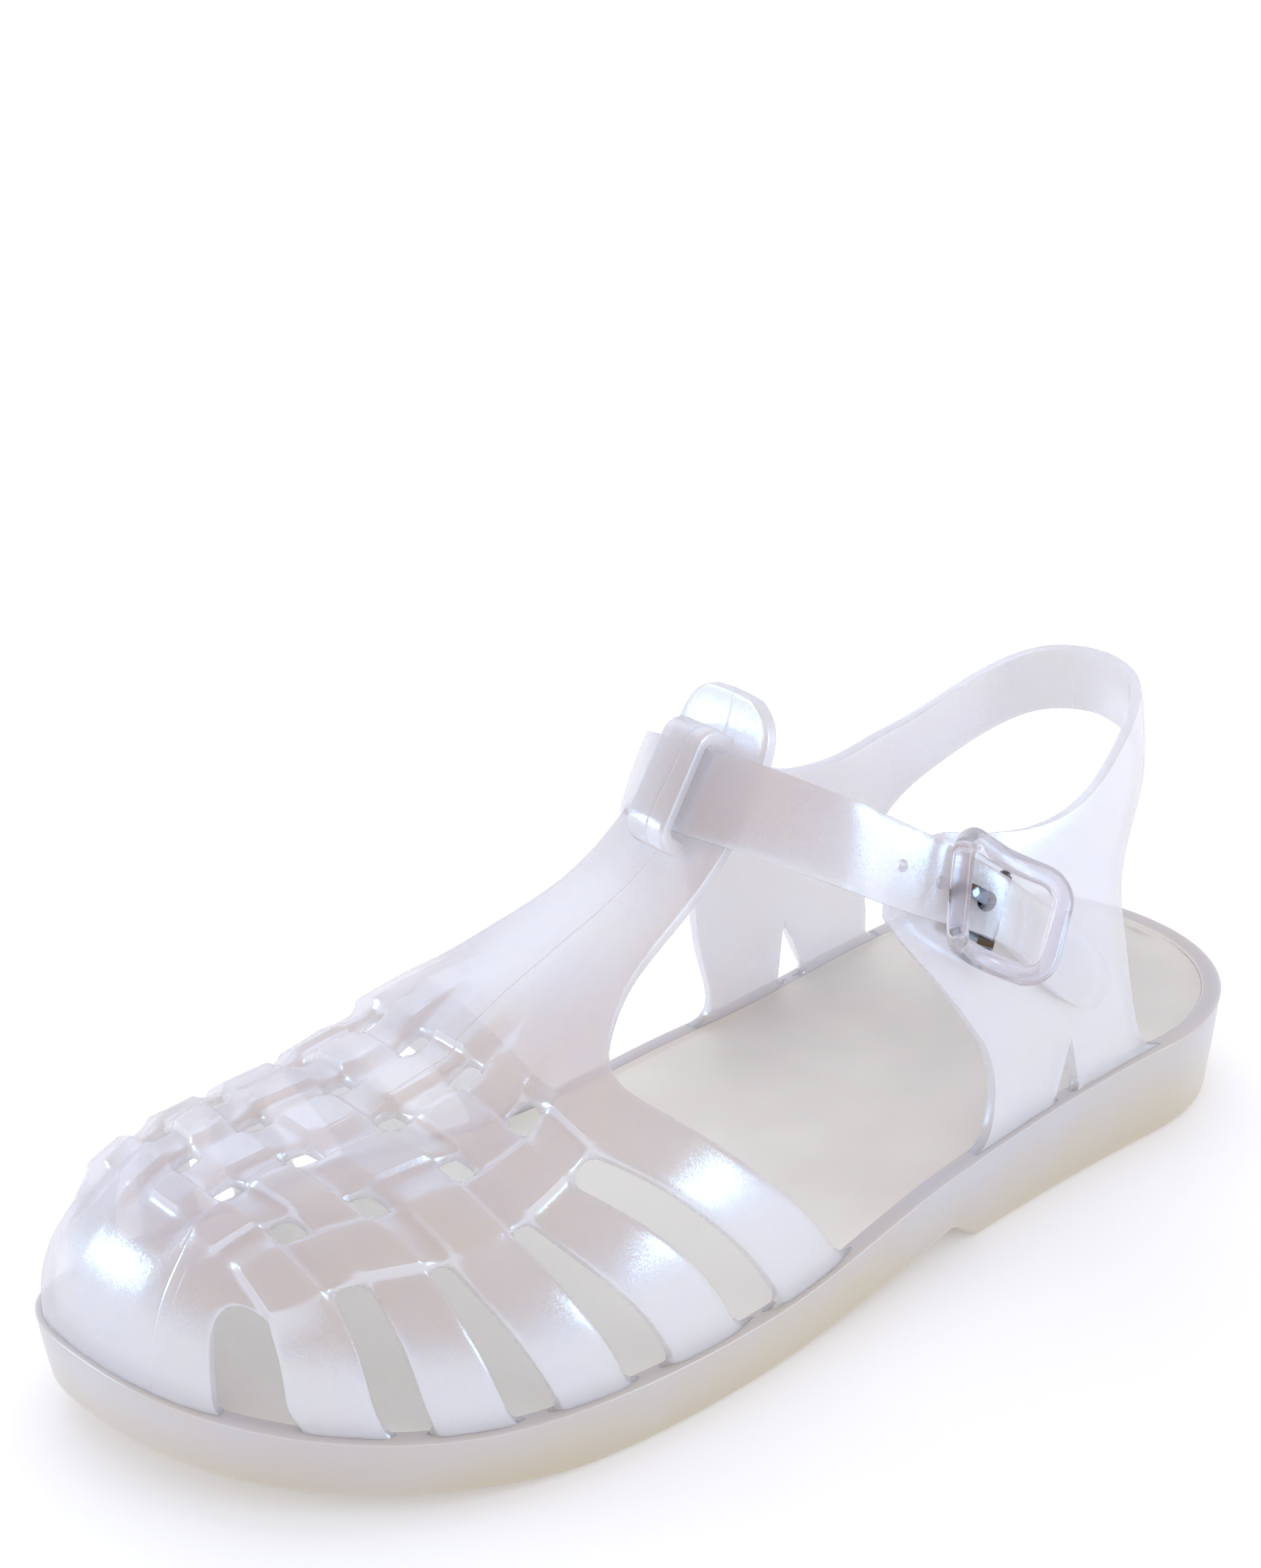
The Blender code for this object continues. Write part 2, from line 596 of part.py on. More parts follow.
def ankle_strap(cage, start):
    """The ankle strap, from the front of the inner wing round to its free tip."""
    columns = [start]
    for base, _, w, _, width in strap_frames():
        column = []
        for k, f in enumerate(BAND_LINES):
            wall = STRAP_WALL if k in (1, 2) else STRAP_EDGE_WALL
            column.append(cage.add(base + w * width * (f - 0.5), wall))
        columns.append(column)
    cage.grid(columns)


def rim(cage, positions):
    """The low wall round the footbed that carries every strap and wing."""
    places = dict(positions)
    marks = sorted(places)
    count = len(EDGE)
    loop = []
    for a, b in zip(marks, marks[1:] + [marks[0] + count]):
        loop.append((a, places[a]))
        extra = int((b - a) // RIM_SPACING)
        for k in range(1, extra + 1):
            p = a + (b - a) * k / (extra + 1)
            loop.append((p, cage.add(rim_point(p, True), WALL)))
    top = [index for _, index in loop]
    foot = [cage.add(rim_point(p, False), WALL) for p, _ in loop]
    cage.strip(top + top[:1], foot + foot[:1])


def upper_cage():
    """The inner face of the whole upper."""
    cage = Cage()
    rows = panel_rows(cage)
    weave(cage, rows)
    positions = toe_cap(cage, rows[0])
    for strap in range(len(CROSS_STRAPS)):
        for side in (1, -1):
            positions += side_strap(cage, rows, strap, side)
    t_strap(cage, rows[-1])
    low, high = BAND_BACK
    back = []
    for k, f in enumerate(BAND_LINES):
        wall = WALL if k in (1, 2) else WALL_BAND_EDGE
        back.append(cage.add(heel_wall(SLING_END, low + (high - low) * f, 1), wall))
    _, feet = wing(cage, 1, back)
    positions += feet
    front, feet = wing(cage, -1, back)
    positions += feet
    ankle_strap(cage, front)
    rim(cage, positions)
    return cage


def new_material(name, colour, roughness, metallic=0.0):
    """A Principled material."""
    material = bpy.data.materials.new(name)
    material.use_nodes = True
    shader = material.node_tree.nodes["Principled BSDF"]
    shader.inputs["Base Color"].default_value = (*colour, 1.0)
    shader.inputs["Roughness"].default_value = roughness
    shader.inputs["Metallic"].default_value = metallic
    return material


def new_object(name, mesh, collection, material=None):
    """An object for a mesh, linked to a collection."""
    obj = bpy.data.objects.new(name, mesh)
    collection.objects.link(obj)
    if material is not None:
        mesh.materials.append(material)
    return obj


def as_guide(obj):
    """Marks a helper that only cuts or joins."""
    obj.hide_render = True
    obj.display_type = "WIRE"


def boolean(obj, other, operation):
    """Adds a Boolean modifier."""
    modifier = obj.modifiers.new(operation.title() + " " + other.name, "BOOLEAN")
    modifier.operation = operation
    modifier.object = other
    modifier.solver = "EXACT"


def mesh_from_cage(cage, name):
    """Mesh of a cage with its faces turned outwards."""
    mesh = bpy.data.meshes.new(name)
    mesh.from_pydata([tuple(p * MM) for p in cage.points], [], cage.faces)
    bm = bmesh.new()
    bm.from_mesh(mesh)
    bmesh.ops.recalc_face_normals(bm, faces=bm.faces)
    bm.faces.ensure_lookup_table()
    if bm.faces[0].normal.z < 0:
        bmesh.ops.reverse_faces(bm, faces=bm.faces)
    bm.to_mesh(mesh)
    bm.free()
    return mesh


def ring_mesh(name, sections):
    """Closed loft through sections of the same number of points, with flat ends."""
    bm = bmesh.new()
    loops = [[bm.verts.new(tuple(np.array(p) * MM)) for p in section] for section in sections]
    for first, second in zip(loops, loops[1:]):
        for k in range(len(first)):
            m = (k + 1) % len(first)
            bm.faces.new((first[k], first[m], second[m], second[k]))
    bm.faces.new(loops[0])
    bm.faces.new(loops[-1][::-1])
    bmesh.ops.recalc_face_normals(bm, faces=bm.faces)
    mesh = bpy.data.meshes.new(name)
    bm.to_mesh(mesh)
    bm.free()
    return mesh


def sole_sections():
    """Cross sections of the sole from toe to heel."""
    turn = np.linspace(0, math.pi / 2, END_SECTIONS)
    toe = TOE_TIP[1] + END_MARGIN + TOE_RUN * (1 - np.cos(turn))
    heel = HEEL_BACK[1] - END_MARGIN - HEEL_RUN * (1 - np.cos(turn[::-1]))
    ys = [*toe, *SOLE_FRONT, *HEEL_BREAST, *SOLE_REAR, *heel]
    sections = []
    for y in ys:
        right = float(side_x(EDGE, y, 1))
        left = float(side_x(EDGE, y, -1))
        if y <= HEEL_BREAST[0]:
            low = float(smooth(UNDERSIDE, y))
        else:
            back = max(0.0, (y - (HEEL_BACK[1] - HEEL_ROUND)) / HEEL_ROUND)
            low = HEEL_ROUND * HEEL_LIFT * (1 - math.sqrt(max(0.0, 1 - back * back)))
        top = top_z(y)
        mid = 0.5 * (left + right)
        half = 0.5 * (right - left)
        profile = ((SOLE_DRAFT + SOLE_ROUND, low), (SOLE_DRAFT, low + SOLE_ROUND),
                   (0.0, top - TOP_CHAMFER[1]), (TOP_CHAMFER[0], top))
        ring = []
        for inset, z in profile:
            ring.append((mid + max(half - inset, half * NARROWEST), y, z))
        for inset, z in profile[::-1]:
            ring.append((mid - max(half - inset, half * NARROWEST), y, z))
        sections.append(ring)
    return sections


def buckle_frame_axes():
    """Origin on the outer wing and the axes along the strap, across it and outwards."""
    y, z = BUCKLE_AT
    origin = heel_wall(y, z, 1) + np.array([WALL, 0, 0])
    ahead = np.array(BUCKLE_AHEAD)
    ahead /= np.linalg.norm(ahead)
    out = np.array([1.0, 0.0, BUCKLE_LEAN])
    out -= ahead * np.dot(out, ahead)
    out /= np.linalg.norm(out)
    across = np.cross(out, ahead)
    across = across if across[2] > 0 else -across
    return origin, ahead, across, out


def curve_mesh(name, points, radius, cyclic, collection):
    """Mesh of a round bar along points."""
    data = bpy.data.curves.new(name, "CURVE")
    data.dimensions = "3D"
    spline = data.splines.new("POLY")
    spline.points.add(len(points) - 1)
    for point, p in zip(spline.points, points):
        point.co = (*(np.array(p) * MM), 1.0)
    spline.use_cyclic_u = cyclic
    data.bevel_depth = radius * MM
    data.bevel_resolution = 2
    data.use_fill_caps = True
    obj = bpy.data.objects.new(name + "_path", data)
    collection.objects.link(obj)
    mesh = bpy.data.meshes.new_from_object(obj.evaluated_get(bpy.context.evaluated_depsgraph_get()))
    bpy.data.objects.remove(obj)
    bm = bmesh.new()
    bm.from_mesh(mesh)
    bmesh.ops.remove_doubles(bm, verts=bm.verts, dist=0.00001)
    bmesh.ops.recalc_face_normals(bm, faces=bm.faces)
    bm.to_mesh(mesh)
    bm.free()
    mesh.name = name
    return mesh


def buckle_points(count=36):
    """Centre line of the buckle's frame: low beside the strap, arched over it at both ends."""
    origin, ahead, across, out = buckle_frame_axes()
    points = []
    for k in range(count):
        a = 2 * math.pi * k / count
        c, s = math.cos(a), math.sin(a)
        u = BUCKLE_HALF_LENGTH * math.copysign(abs(c) ** (2 / BUCKLE_CORNER_POWER), c)
        v = BUCKLE_HALF_WIDTH * math.copysign(abs(s) ** (2 / BUCKLE_CORNER_POWER), s)
        f = min(1.0, abs(u) / BUCKLE_HALF_LENGTH)
        end_rise = BUCKLE_REAR_RISE if u > 0 else BUCKLE_FRONT_RISE
        rise = BUCKLE_SIDE_RISE + (end_rise - BUCKLE_SIDE_RISE) * f ** BUCKLE_RISE_POWER
        points.append(origin + ahead * u + across * v + out * rise)
    return points


def keeper_mesh():
    """Closed band of the keeper loop, standing on the T-strap below and above the ankle strap."""
    base, n, w, _, width = strap_frames()[3]
    base = base + np.array([KEEPER_X - base[0], 0.0, 0.0])
    half = np.array([KEEPER_WIDTH / 2, 0.0, 0.0])
    reach = width / 2 + KEEPER_PLAY
    top = STRAP_WALL + KEEPER_PLAY
    wall = KEEPER_WALL
    low, high = KEEPER_FEET
    corner = KEEPER_CORNER
    path = ((-reach, low, -reach - wall, low), (-reach, top - corner, -reach - wall, top),
            (-reach + corner, top, -reach, top + wall), (reach - corner, top, reach, top + wall),
            (reach, top - corner, reach + wall, top), (reach, high, reach + wall, high))
    sections = []
    for a, b, c, d in path:
        p = base + w * a + n * b
        q = base + w * c + n * d
        sections.append([p - half, p + half, q + half, q - half])
    return ring_mesh("keeper_loop", sections)


def strap_place(y, z):
    """Middle of the ankle strap nearest to y, z, and the outward direction there."""
    frames = strap_frames()
    k = min(range(len(frames)), key=lambda i: np.linalg.norm(frames[i][0][1:] - np.array([y, z])))
    base, n, _, t, _ = frames[k]
    shift = np.array([base[0], y, z]) - base
    return base + t * np.dot(shift, t) + n, n


def prong_mesh():
    """The flat prong, from the front bar through the ankle strap to the centre bar."""
    origin, ahead, across, out = buckle_frame_axes()
    path = np.array(PRONG)
    turn = np.gradient(path, axis=0)
    sections = []
    for (u, v), (du, dv) in zip(path, turn):
        normal = np.array([-dv, du]) / math.hypot(du, dv) * PRONG_THICKNESS / 2
        section = []
        for a, b in ((-1, -1), (-1, 1), (1, 1), (1, -1)):
            p = np.array([u, v]) + normal * b
            section.append(origin + ahead * p[0] + out * p[1] + across * a * PRONG_HALF_WIDTH)
        sections.append(section)
    return ring_mesh("buckle_prong", sections)


def hole_mesh(centre, n, diameter):
    """Cutter of a punched hole through the ankle strap."""
    bm = bmesh.new()
    bmesh.ops.create_cone(bm, cap_ends=True, segments=HOLE_SIDES, radius1=diameter / 2 * MM,
                          radius2=diameter / 2 * MM, depth=HOLE_DEPTH * MM)
    turn = Vector(n).to_track_quat("Z", "Y").to_matrix().to_4x4()
    bmesh.ops.transform(bm, matrix=Matrix.Translation(Vector(centre * MM)) @ turn, verts=bm.verts)
    mesh = bpy.data.meshes.new("strap_hole")
    bm.to_mesh(mesh)
    bm.free()
    return mesh


def main():
    """Builds the sandal."""
    for obj in list(bpy.data.objects):
        bpy.data.objects.remove(obj, do_unlink=True)
    parts = bpy.data.collections.new("jelly_sandal")
    tools = bpy.data.collections.new("cutters")
    for collection in (parts, tools):
        bpy.context.scene.collection.children.link(collection)
    pearl = new_material("pearl_pvc", (0.76, 0.74, 0.83), 0.28)
    cream = new_material("cream_pvc", (0.64, 0.60, 0.53), 0.45)
    clear = new_material("clear_buckle_plastic", (0.70, 0.68, 0.80), 0.08)
    steel = new_material("nickel_plated_steel", (0.62, 0.61, 0.60), 0.15, 1.0)

    new_object("sole", ring_mesh("sole", sole_sections()), parts, cream)

    cage = upper_cage()
    upper = new_object("upper", mesh_from_cage(cage, "upper"), parts, pearl)
    group = upper.vertex_groups.new(name="wall")
    for k, wall in enumerate(cage.walls):
        group.add([k], wall / WALL_RAISED, "REPLACE")
    shell = upper.modifiers.new("Wall", "SOLIDIFY")
    shell.thickness = WALL_RAISED * MM
    shell.offset = 1.0
    shell.vertex_group = "wall"
    shell.use_rim = True

    keeper = new_object("keeper_loop", keeper_mesh(), tools)
    as_guide(keeper)
    boolean(upper, keeper, "UNION")
    origin, ahead, across, out = buckle_frame_axes()
    cutters = [hole_mesh(*strap_place(y, z), STRAP_HOLE_D) for y, z in STRAP_HOLES]
    cutters.append(hole_mesh(origin + ahead * PRONG_HOLE_AT + out * PRONG_HOLE_OUT, out, PRONG_HOLE_D))
    for k, mesh in enumerate(cutters):
        hole = new_object("strap_hole_%d" % (k + 1), mesh, tools)
        as_guide(hole)
        boolean(upper, hole, "DIFFERENCE")

    frame = curve_mesh("buckle_frame", buckle_points(), BUCKLE_BAR_R, True, tools)
    new_object("buckle_frame", frame, parts, clear)
    bar = origin + ahead * CENTRE_BAR_AT + out * (CENTRE_BAR_R + 2 * GAP)
    ends = [bar - across * CENTRE_BAR_HALF, bar + across * CENTRE_BAR_HALF]
    new_object("buckle_bar", curve_mesh("buckle_bar", ends, CENTRE_BAR_R, False, tools), parts, steel)
    new_object("buckle_prong", prong_mesh(), parts, steel)


main()
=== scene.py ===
"""Dresses the left jelly sandal: pearl upper, cream sole and clear buckle in a plain white studio.

Sizes are in millimetres in the part's own frame: toe at -Y, heel at +Y, outer (lateral) side at +X,
floor at Z = 0.
"""

from __future__ import annotations

import logging
import math
from dataclasses import dataclass, field
from enum import Enum
from typing import Any, Sequence

import bmesh
import bpy
import numpy as np
from mathutils import Matrix, Vector

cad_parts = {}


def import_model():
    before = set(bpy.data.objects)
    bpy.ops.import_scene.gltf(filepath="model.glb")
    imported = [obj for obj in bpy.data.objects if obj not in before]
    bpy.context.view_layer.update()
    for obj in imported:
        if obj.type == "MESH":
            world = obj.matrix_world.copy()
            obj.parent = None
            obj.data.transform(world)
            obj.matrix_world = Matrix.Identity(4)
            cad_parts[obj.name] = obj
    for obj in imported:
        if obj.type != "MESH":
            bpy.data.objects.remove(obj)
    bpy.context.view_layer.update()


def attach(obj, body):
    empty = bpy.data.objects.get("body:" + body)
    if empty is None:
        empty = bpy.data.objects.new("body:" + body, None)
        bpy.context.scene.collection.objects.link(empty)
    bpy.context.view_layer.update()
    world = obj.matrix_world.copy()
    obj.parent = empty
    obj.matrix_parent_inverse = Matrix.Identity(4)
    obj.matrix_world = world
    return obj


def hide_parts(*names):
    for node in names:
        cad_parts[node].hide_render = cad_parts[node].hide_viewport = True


LOG = logging.getLogger("jelly_sandal")
MM = 0.001
# A strap or strip of the weave has four lines: an edge, two shoulders and an edge
LINES = 4
SHOULDERS = (1, 2)
# Middle of a texture's colours, which run from 0 to 1
MID_COLOUR = (0.5, 0.5, 0.5)
# Length and number of sides of the cutters for punched holes
CUTTER_MM = 5.0
CUTTER_SIDES = 32
Array = np.ndarray
Ring = list[bmesh.types.BMVert]
Table = Sequence[Sequence[float]]
Pair = tuple[float, float]
Point = tuple[float, float, float]
Colour = tuple[float, float, float, float]


class Side(Enum):
    """The two long sides of the shoe, with the sign of their x."""

    LATERAL = 1
    MEDIAL = -1


# Helpers


def linear(code: str) -> Colour:
    """Turns an sRGB hex code into linear colour.

    Args:
        code: Colour such as "#E6E2EE".

    Returns:
        Linear red, green, blue and an alpha of 1.
    """
    parts = [int(code[k:k + 2], 16) / 255 for k in (1, 3, 5)]
    red, green, blue = (c / 12.92 if c <= 0.04045 else ((c + 0.055) / 1.055) ** 2.4 for c in parts)
    return red, green, blue, 1.0


def plug(tree: bpy.types.NodeTree, node: bpy.types.Node, inputs: dict[Any, Any]) -> None:
    """Sets or links the inputs of a node.

    Args:
        tree: Node tree that holds the node.
        node: The node.
        inputs: Socket name or index to a value, or to an output socket to link.
    """
    for name, value in inputs.items():
        if isinstance(value, bpy.types.NodeSocket):
            tree.links.new(value, node.inputs[name])
        else:
            node.inputs[name].default_value = value


def add_node(tree: bpy.types.NodeTree, kind: str, inputs: dict[Any, Any] | None = None,
             **settings: Any) -> Any:
    """Adds a node with its settings and links.

    Args:
        tree: Node tree that takes the node.
        kind: Blender's name of the node type.
        inputs: Socket name or index to a value, or to an output socket to link.
        settings: Properties of the node.

    Returns:
        The new node.
    """
    node = tree.nodes.new(kind)
    for name, value in settings.items():
        setattr(node, name, value)
    plug(tree, node, inputs or {})
    return node


def new_material(name: str) -> tuple[bpy.types.Material, bpy.types.NodeTree, Any]:
    """Starts a material.

    Args:
        name: Name of the material.

    Returns:
        The material, its node tree and its shader.
    """
    material = bpy.data.materials.new(name)
    material.use_nodes = True
    tree = material.node_tree
    return material, tree, tree.nodes["Principled BSDF"]


def smooth(table: Table, x: Any, column: int = 1) -> Any:
    """Monotone cubic through the rows of a table.

    Args:
        table: Rows whose first column rises.
        x: Where to read it, a number or an array.
        column: Column that is read against the first.

    Returns:
        The value or values at x.
    """
    xs = np.array([row[0] for row in table], float)
    ys = np.array([row[column] for row in table], float)
    h = np.diff(xs)
    d = np.diff(ys) / h
    m = np.zeros(len(xs))
    for i in range(1, len(xs) - 1):
        if d[i - 1] * d[i] > 0:
            a = 2 * h[i] + h[i - 1]
            b = h[i] + 2 * h[i - 1]
            m[i] = (a + b) / (a / d[i - 1] + b / d[i])
    m[0] = 0.5 * (3 * d[0] - m[1])
    m[-1] = 0.5 * (3 * d[-1] - m[-2])
    x = np.clip(np.asarray(x, float), xs[0], xs[-1])
    k = np.clip(np.searchsorted(xs, x) - 1, 0, len(xs) - 2)
    u = (x - xs[k]) / h[k]
    start = (2 * u ** 3 - 3 * u ** 2 + 1) * ys[k] + (u ** 3 - 2 * u ** 2 + u) * h[k] * m[k]
    end = (3 * u ** 2 - 2 * u ** 3) * ys[k + 1] + (u ** 3 - u ** 2) * h[k] * m[k + 1]
    return start + end


def unit(vector: Array) -> Array:
    """Unit vector of a vector."""
    return vector / np.linalg.norm(vector)


def run_lengths(points: Array) -> Array:
    """Length along a run of points, from 0 at its first point."""
    return np.concatenate([[0], np.cumsum(np.linalg.norm(np.diff(points, axis=0), axis=1))])


def new_piece(name: str, data: bpy.types.ID,
              materials: Sequence[bpy.types.Material] = ()) -> bpy.types.Object:
    """Makes an object in the scene.

    Args:
        name: Name of the object and its data.
        data: A mesh, a light or a camera.
        materials: Materials for a mesh's slots.

    Returns:
        The object.
    """
    obj = bpy.data.objects.new(name, data)
    data.name = name
    bpy.context.scene.collection.objects.link(obj)
    for material in materials:
        data.materials.append(material)
    return obj


def shade_smooth(mesh: bpy.types.Mesh, sharp_degrees: float) -> None:
    """Shades a mesh smooth, with edges that turn more than an angle kept sharp."""
    mesh.shade_smooth()
    mesh.set_sharp_from_angle(angle=math.radians(sharp_degrees))


def settle(obj: bpy.types.Object, sharp_degrees: float = 40.0) -> None:
    """Turns an object's modifiers into its mesh and shades it smooth.

    Args:
        obj: Object with modifiers.
        sharp_degrees: Edges that turn more than this stay sharp.
    """
    graph = bpy.context.evaluated_depsgraph_get()
    mesh = bpy.data.meshes.new_from_object(obj.evaluated_get(graph), depsgraph=graph)
    obj.modifiers.clear()
    old = obj.data
    obj.data = mesh
    bpy.data.meshes.remove(old)
    mesh.name = obj.name
    shade_smooth(mesh, sharp_degrees)


def mesh_of(bm: bmesh.types.BMesh, name: str) -> bpy.types.Mesh:
    """Turns a finished editing mesh into a mesh.

    Args:
        bm: Editing mesh, which is freed.
        name: Name of the mesh.

    Returns:
        The mesh.
    """
    mesh = bpy.data.meshes.new(name)
    bm.to_mesh(mesh)
    bm.free()
    return mesh


def join_rings(bm: bmesh.types.BMesh, first: Ring, second: Ring, slot: int = 0) -> None:
    """Joins two rings of the same number of points with quads.

    Args:
        bm: Editing mesh that takes the faces.
        first: Points of one ring.
        second: Points of the next ring.
        slot: Material slot of the faces.
    """
    for k in range(len(first)):
        m = (k + 1) % len(first)
        bm.faces.new((first[k], first[m], second[m], second[k])).material_index = slot


def loft(name: str, sections: Sequence[Sequence[Array]], closed: bool = False) -> bpy.types.Mesh:
    """Lofts a closed solid through rings of the same number of points.

    Args:
        name: Name of the mesh.
        sections: Rings of points in millimetres.
        closed: Whether the last ring joins the first; otherwise both ends are filled.

    Returns:
        The mesh.
    """
    bm = bmesh.new()
    loops = [[bm.verts.new(tuple(np.asarray(p) * MM)) for p in section] for section in sections]
    for first, second in zip(loops, loops[1:]):
        join_rings(bm, first, second)
    if closed:
        join_rings(bm, loops[-1], loops[0])
    else:
        bm.faces.new(loops[0])
        bm.faces.new(loops[-1][::-1])
    bmesh.ops.recalc_face_normals(bm, faces=bm.faces)
    return mesh_of(bm, name)


def rounded_section(half_width: float, half_depth: float, radius: float, steps: int = 4) -> list[Pair]:
    """Points round a rectangle with rounded corners.

    Args:
        half_width: Half size along the first axis.
        half_depth: Half size along the second axis.
        radius: Corner radius.
        steps: Steps in each corner.

    Returns:
        Points in order round the section.
    """
    points = []
    for quarter, (sx, sy) in enumerate(((1, 1), (-1, 1), (-1, -1), (1, -1))):
        for k in range(steps + 1):
            a = math.pi / 2 * (quarter + k / steps)
            points.append((sx * (half_width - radius) + radius * math.cos(a),
                           sy * (half_depth - radius) + radius * math.sin(a)))
    return points


# Finishes


@dataclass(frozen=True)
class PearlPvc:
    """Injection-moulded translucent PVC with pearl pigment.

    The mica flakes give a broad satin reflection over a milky body and a fine sparkle. The gate at the
    toe leaves long faint flow marks, and the two halves of the mould a hairline along the middle.
    """

    name: str = "pearl_pvc_moulded"
    body: str = "#EDE9F8"
    warm: str = "#F5EADC"
    ior: float = 1.53
    roughness: float = 0.24
    metallic: float = 0.14
    # The thin walls let a share of the light straight through, and the milky body scatters the rest
    clear: float = 0.42
    scatter: float = 1.0
    scatter_mm: float = 4.0
    scatter_rgb: Point = (1.0, 0.95, 0.85)
    coat: float = 0.25
    coat_roughness: float = 0.18
    # Titania on mica: a thin film that reflects a cool silver white, and leaves the body warm
    film_nm: float = 45.0
    film_ior: float = 2.3
    flake_mm: float = 0.14
    flake_tilt: float = 0.10
    flow_mm: float = 16.0
    flow_detail: float = 3.0
    flow_bend: float = 0.8
    # Hairline of the mould: its width and depth, its place across the toe and its slope along the shoe
    line_width_mm: float = 0.24
    line_depth_mm: float = 0.10
    line_strength: float = 0.6
    line_x_mm: float = -1.3
    line_slope: float = -0.03

    def material(self) -> bpy.types.Material:
        """Builds the material.

        Returns:
            The material.
        """
        material, tree, shader = new_material(self.name)
        place = add_node(tree, "ShaderNodeTexCoord").outputs["Object"]
        flow = add_node(tree, "ShaderNodeTexNoise",
                        {"Vector": place, "Scale": 1 / (self.flow_mm * MM), "Detail": self.flow_detail,
                         "Distortion": self.flow_bend})
        tint = add_node(tree, "ShaderNodeMix",
                        {0: flow.outputs["Fac"], 6: linear(self.body), 7: linear(self.warm)},
                        data_type="RGBA")
        # Flakes are really about 0.05 mm; they are drawn coarser so that the sparkle shows in the render
        cells = add_node(tree, "ShaderNodeTexVoronoi", {"Vector": place, "Scale": 1 / (self.flake_mm * MM)})
        centred = add_node(tree, "ShaderNodeVectorMath", {0: cells.outputs["Color"], 1: MID_COLOUR},
                           operation="SUBTRACT")
        tilt = add_node(tree, "ShaderNodeVectorMath",
                        {0: centred.outputs["Vector"], "Scale": self.flake_tilt}, operation="SCALE")
        split = add_node(tree, "ShaderNodeSeparateXYZ", {"Vector": place})
        middle = add_node(tree, "ShaderNodeMath",
                          {0: split.outputs["Y"], 1: self.line_slope, 2: self.line_x_mm * MM},
                          operation="MULTIPLY_ADD")
        off = add_node(tree, "ShaderNodeMath", {0: split.outputs["X"], 1: middle.outputs[0]},
                       operation="SUBTRACT")
        away = add_node(tree, "ShaderNodeMath", {0: off.outputs[0]}, operation="ABSOLUTE")
        line = add_node(tree, "ShaderNodeMapRange",
                        {"Value": away.outputs[0], "From Min": 0.0, "From Max": self.line_width_mm * MM})
        bump = add_node(tree, "ShaderNodeBump",
                        {"Height": line.outputs[0], "Distance": self.line_depth_mm * MM,
                         "Strength": self.line_strength})
        tilted = add_node(tree, "ShaderNodeVectorMath",
                          {0: bump.outputs["Normal"], 1: tilt.outputs["Vector"]}, operation="ADD")
        normal = add_node(tree, "ShaderNodeVectorMath", {0: tilted.outputs["Vector"]},
                          operation="NORMALIZE")
        plug(tree, shader, {
            "Base Color": tint.outputs[2], "Normal": normal.outputs["Vector"],
            "Coat Normal": bump.outputs["Normal"], "IOR": self.ior, "Roughness": self.roughness,
            "Metallic": self.metallic, "Alpha": 1 - self.clear, "Subsurface Weight": self.scatter,
            "Subsurface Radius": self.scatter_rgb, "Subsurface Scale": self.scatter_mm * MM,
            "Coat Weight": self.coat, "Coat Roughness": self.coat_roughness,
            "Thin Film Thickness": self.film_nm, "Thin Film IOR": self.film_ior})
        return material


@dataclass(frozen=True)
class CreamPvc:
    """Injection-moulded cream PVC of the sole: thicker, so it looks warmer, with a satin skin."""

    name: str = "cream_pvc_moulded"
    body: str = "#CFCBD0"
    low_painted_shading: str = "#D0C5B0"
    ior: float = 1.53
    roughness: float = 0.34
    metallic: float = 0.08
    scatter: float = 0.6
    scatter_mm: float = 3.0
    scatter_rgb: Point = (1.0, 0.9, 0.72)
    coat: float = 0.25
    coat_roughness: float = 0.16
    mottle_mm: float = 22.0
    grain_mm: float = 0.5
    grain_depth_mm: float = 0.012
    grain_strength: float = 0.7
    noise_detail: float = 2.0
    # Painted light and shade by height: heights between which the colour turns from the low painted shading
    # to the body, and the share of it added at each
    shading_mm: Pair = (0.0, 13.0)
    shading_share: Pair = (0.6, -0.25)

    def material(self) -> bpy.types.Material:
        """Builds the material.

        Returns:
            The material.
        """
        material, tree, shader = new_material(self.name)
        place = add_node(tree, "ShaderNodeTexCoord").outputs["Object"]
        mottle, grain = [add_node(tree, "ShaderNodeTexNoise",
                                  {"Vector": place, "Scale": 1 / (size * MM), "Detail": self.noise_detail})
                         for size in (self.mottle_mm, self.grain_mm)]
        split = add_node(tree, "ShaderNodeSeparateXYZ", {"Vector": place})
        # Painted shading by height: on the sole's side painted shade, darker and warmer towards the bottom;
        # on the footbed painted light, paler at the forefoot
        low = add_node(tree, "ShaderNodeMapRange",
                       {"Value": split.outputs["Z"], "From Min": self.shading_mm[0] * MM,
                        "From Max": self.shading_mm[1] * MM, "To Min": self.shading_share[0],
                        "To Max": self.shading_share[1]})
        mottle_and_shading = add_node(tree, "ShaderNodeMath", {0: mottle.outputs["Fac"], 1: low.outputs[0]},
                          operation="ADD", use_clamp=True)
        tint = add_node(tree, "ShaderNodeMix",
                        {0: mottle_and_shading.outputs[0], 6: linear(self.body), 7: linear(self.low_painted_shading)},
                        data_type="RGBA")
        bump = add_node(tree, "ShaderNodeBump",
                        {"Height": grain.outputs["Fac"], "Distance": self.grain_depth_mm * MM,
                         "Strength": self.grain_strength})
        plug(tree, shader, {
            "Base Color": tint.outputs[2], "Normal": bump.outputs["Normal"], "IOR": self.ior,
            "Roughness": self.roughness, "Metallic": self.metallic, "Subsurface Weight": self.scatter,
            "Subsurface Radius": self.scatter_rgb, "Subsurface Scale": self.scatter_mm * MM,
            "Coat Weight": self.coat, "Coat Roughness": self.coat_roughness})
        return material
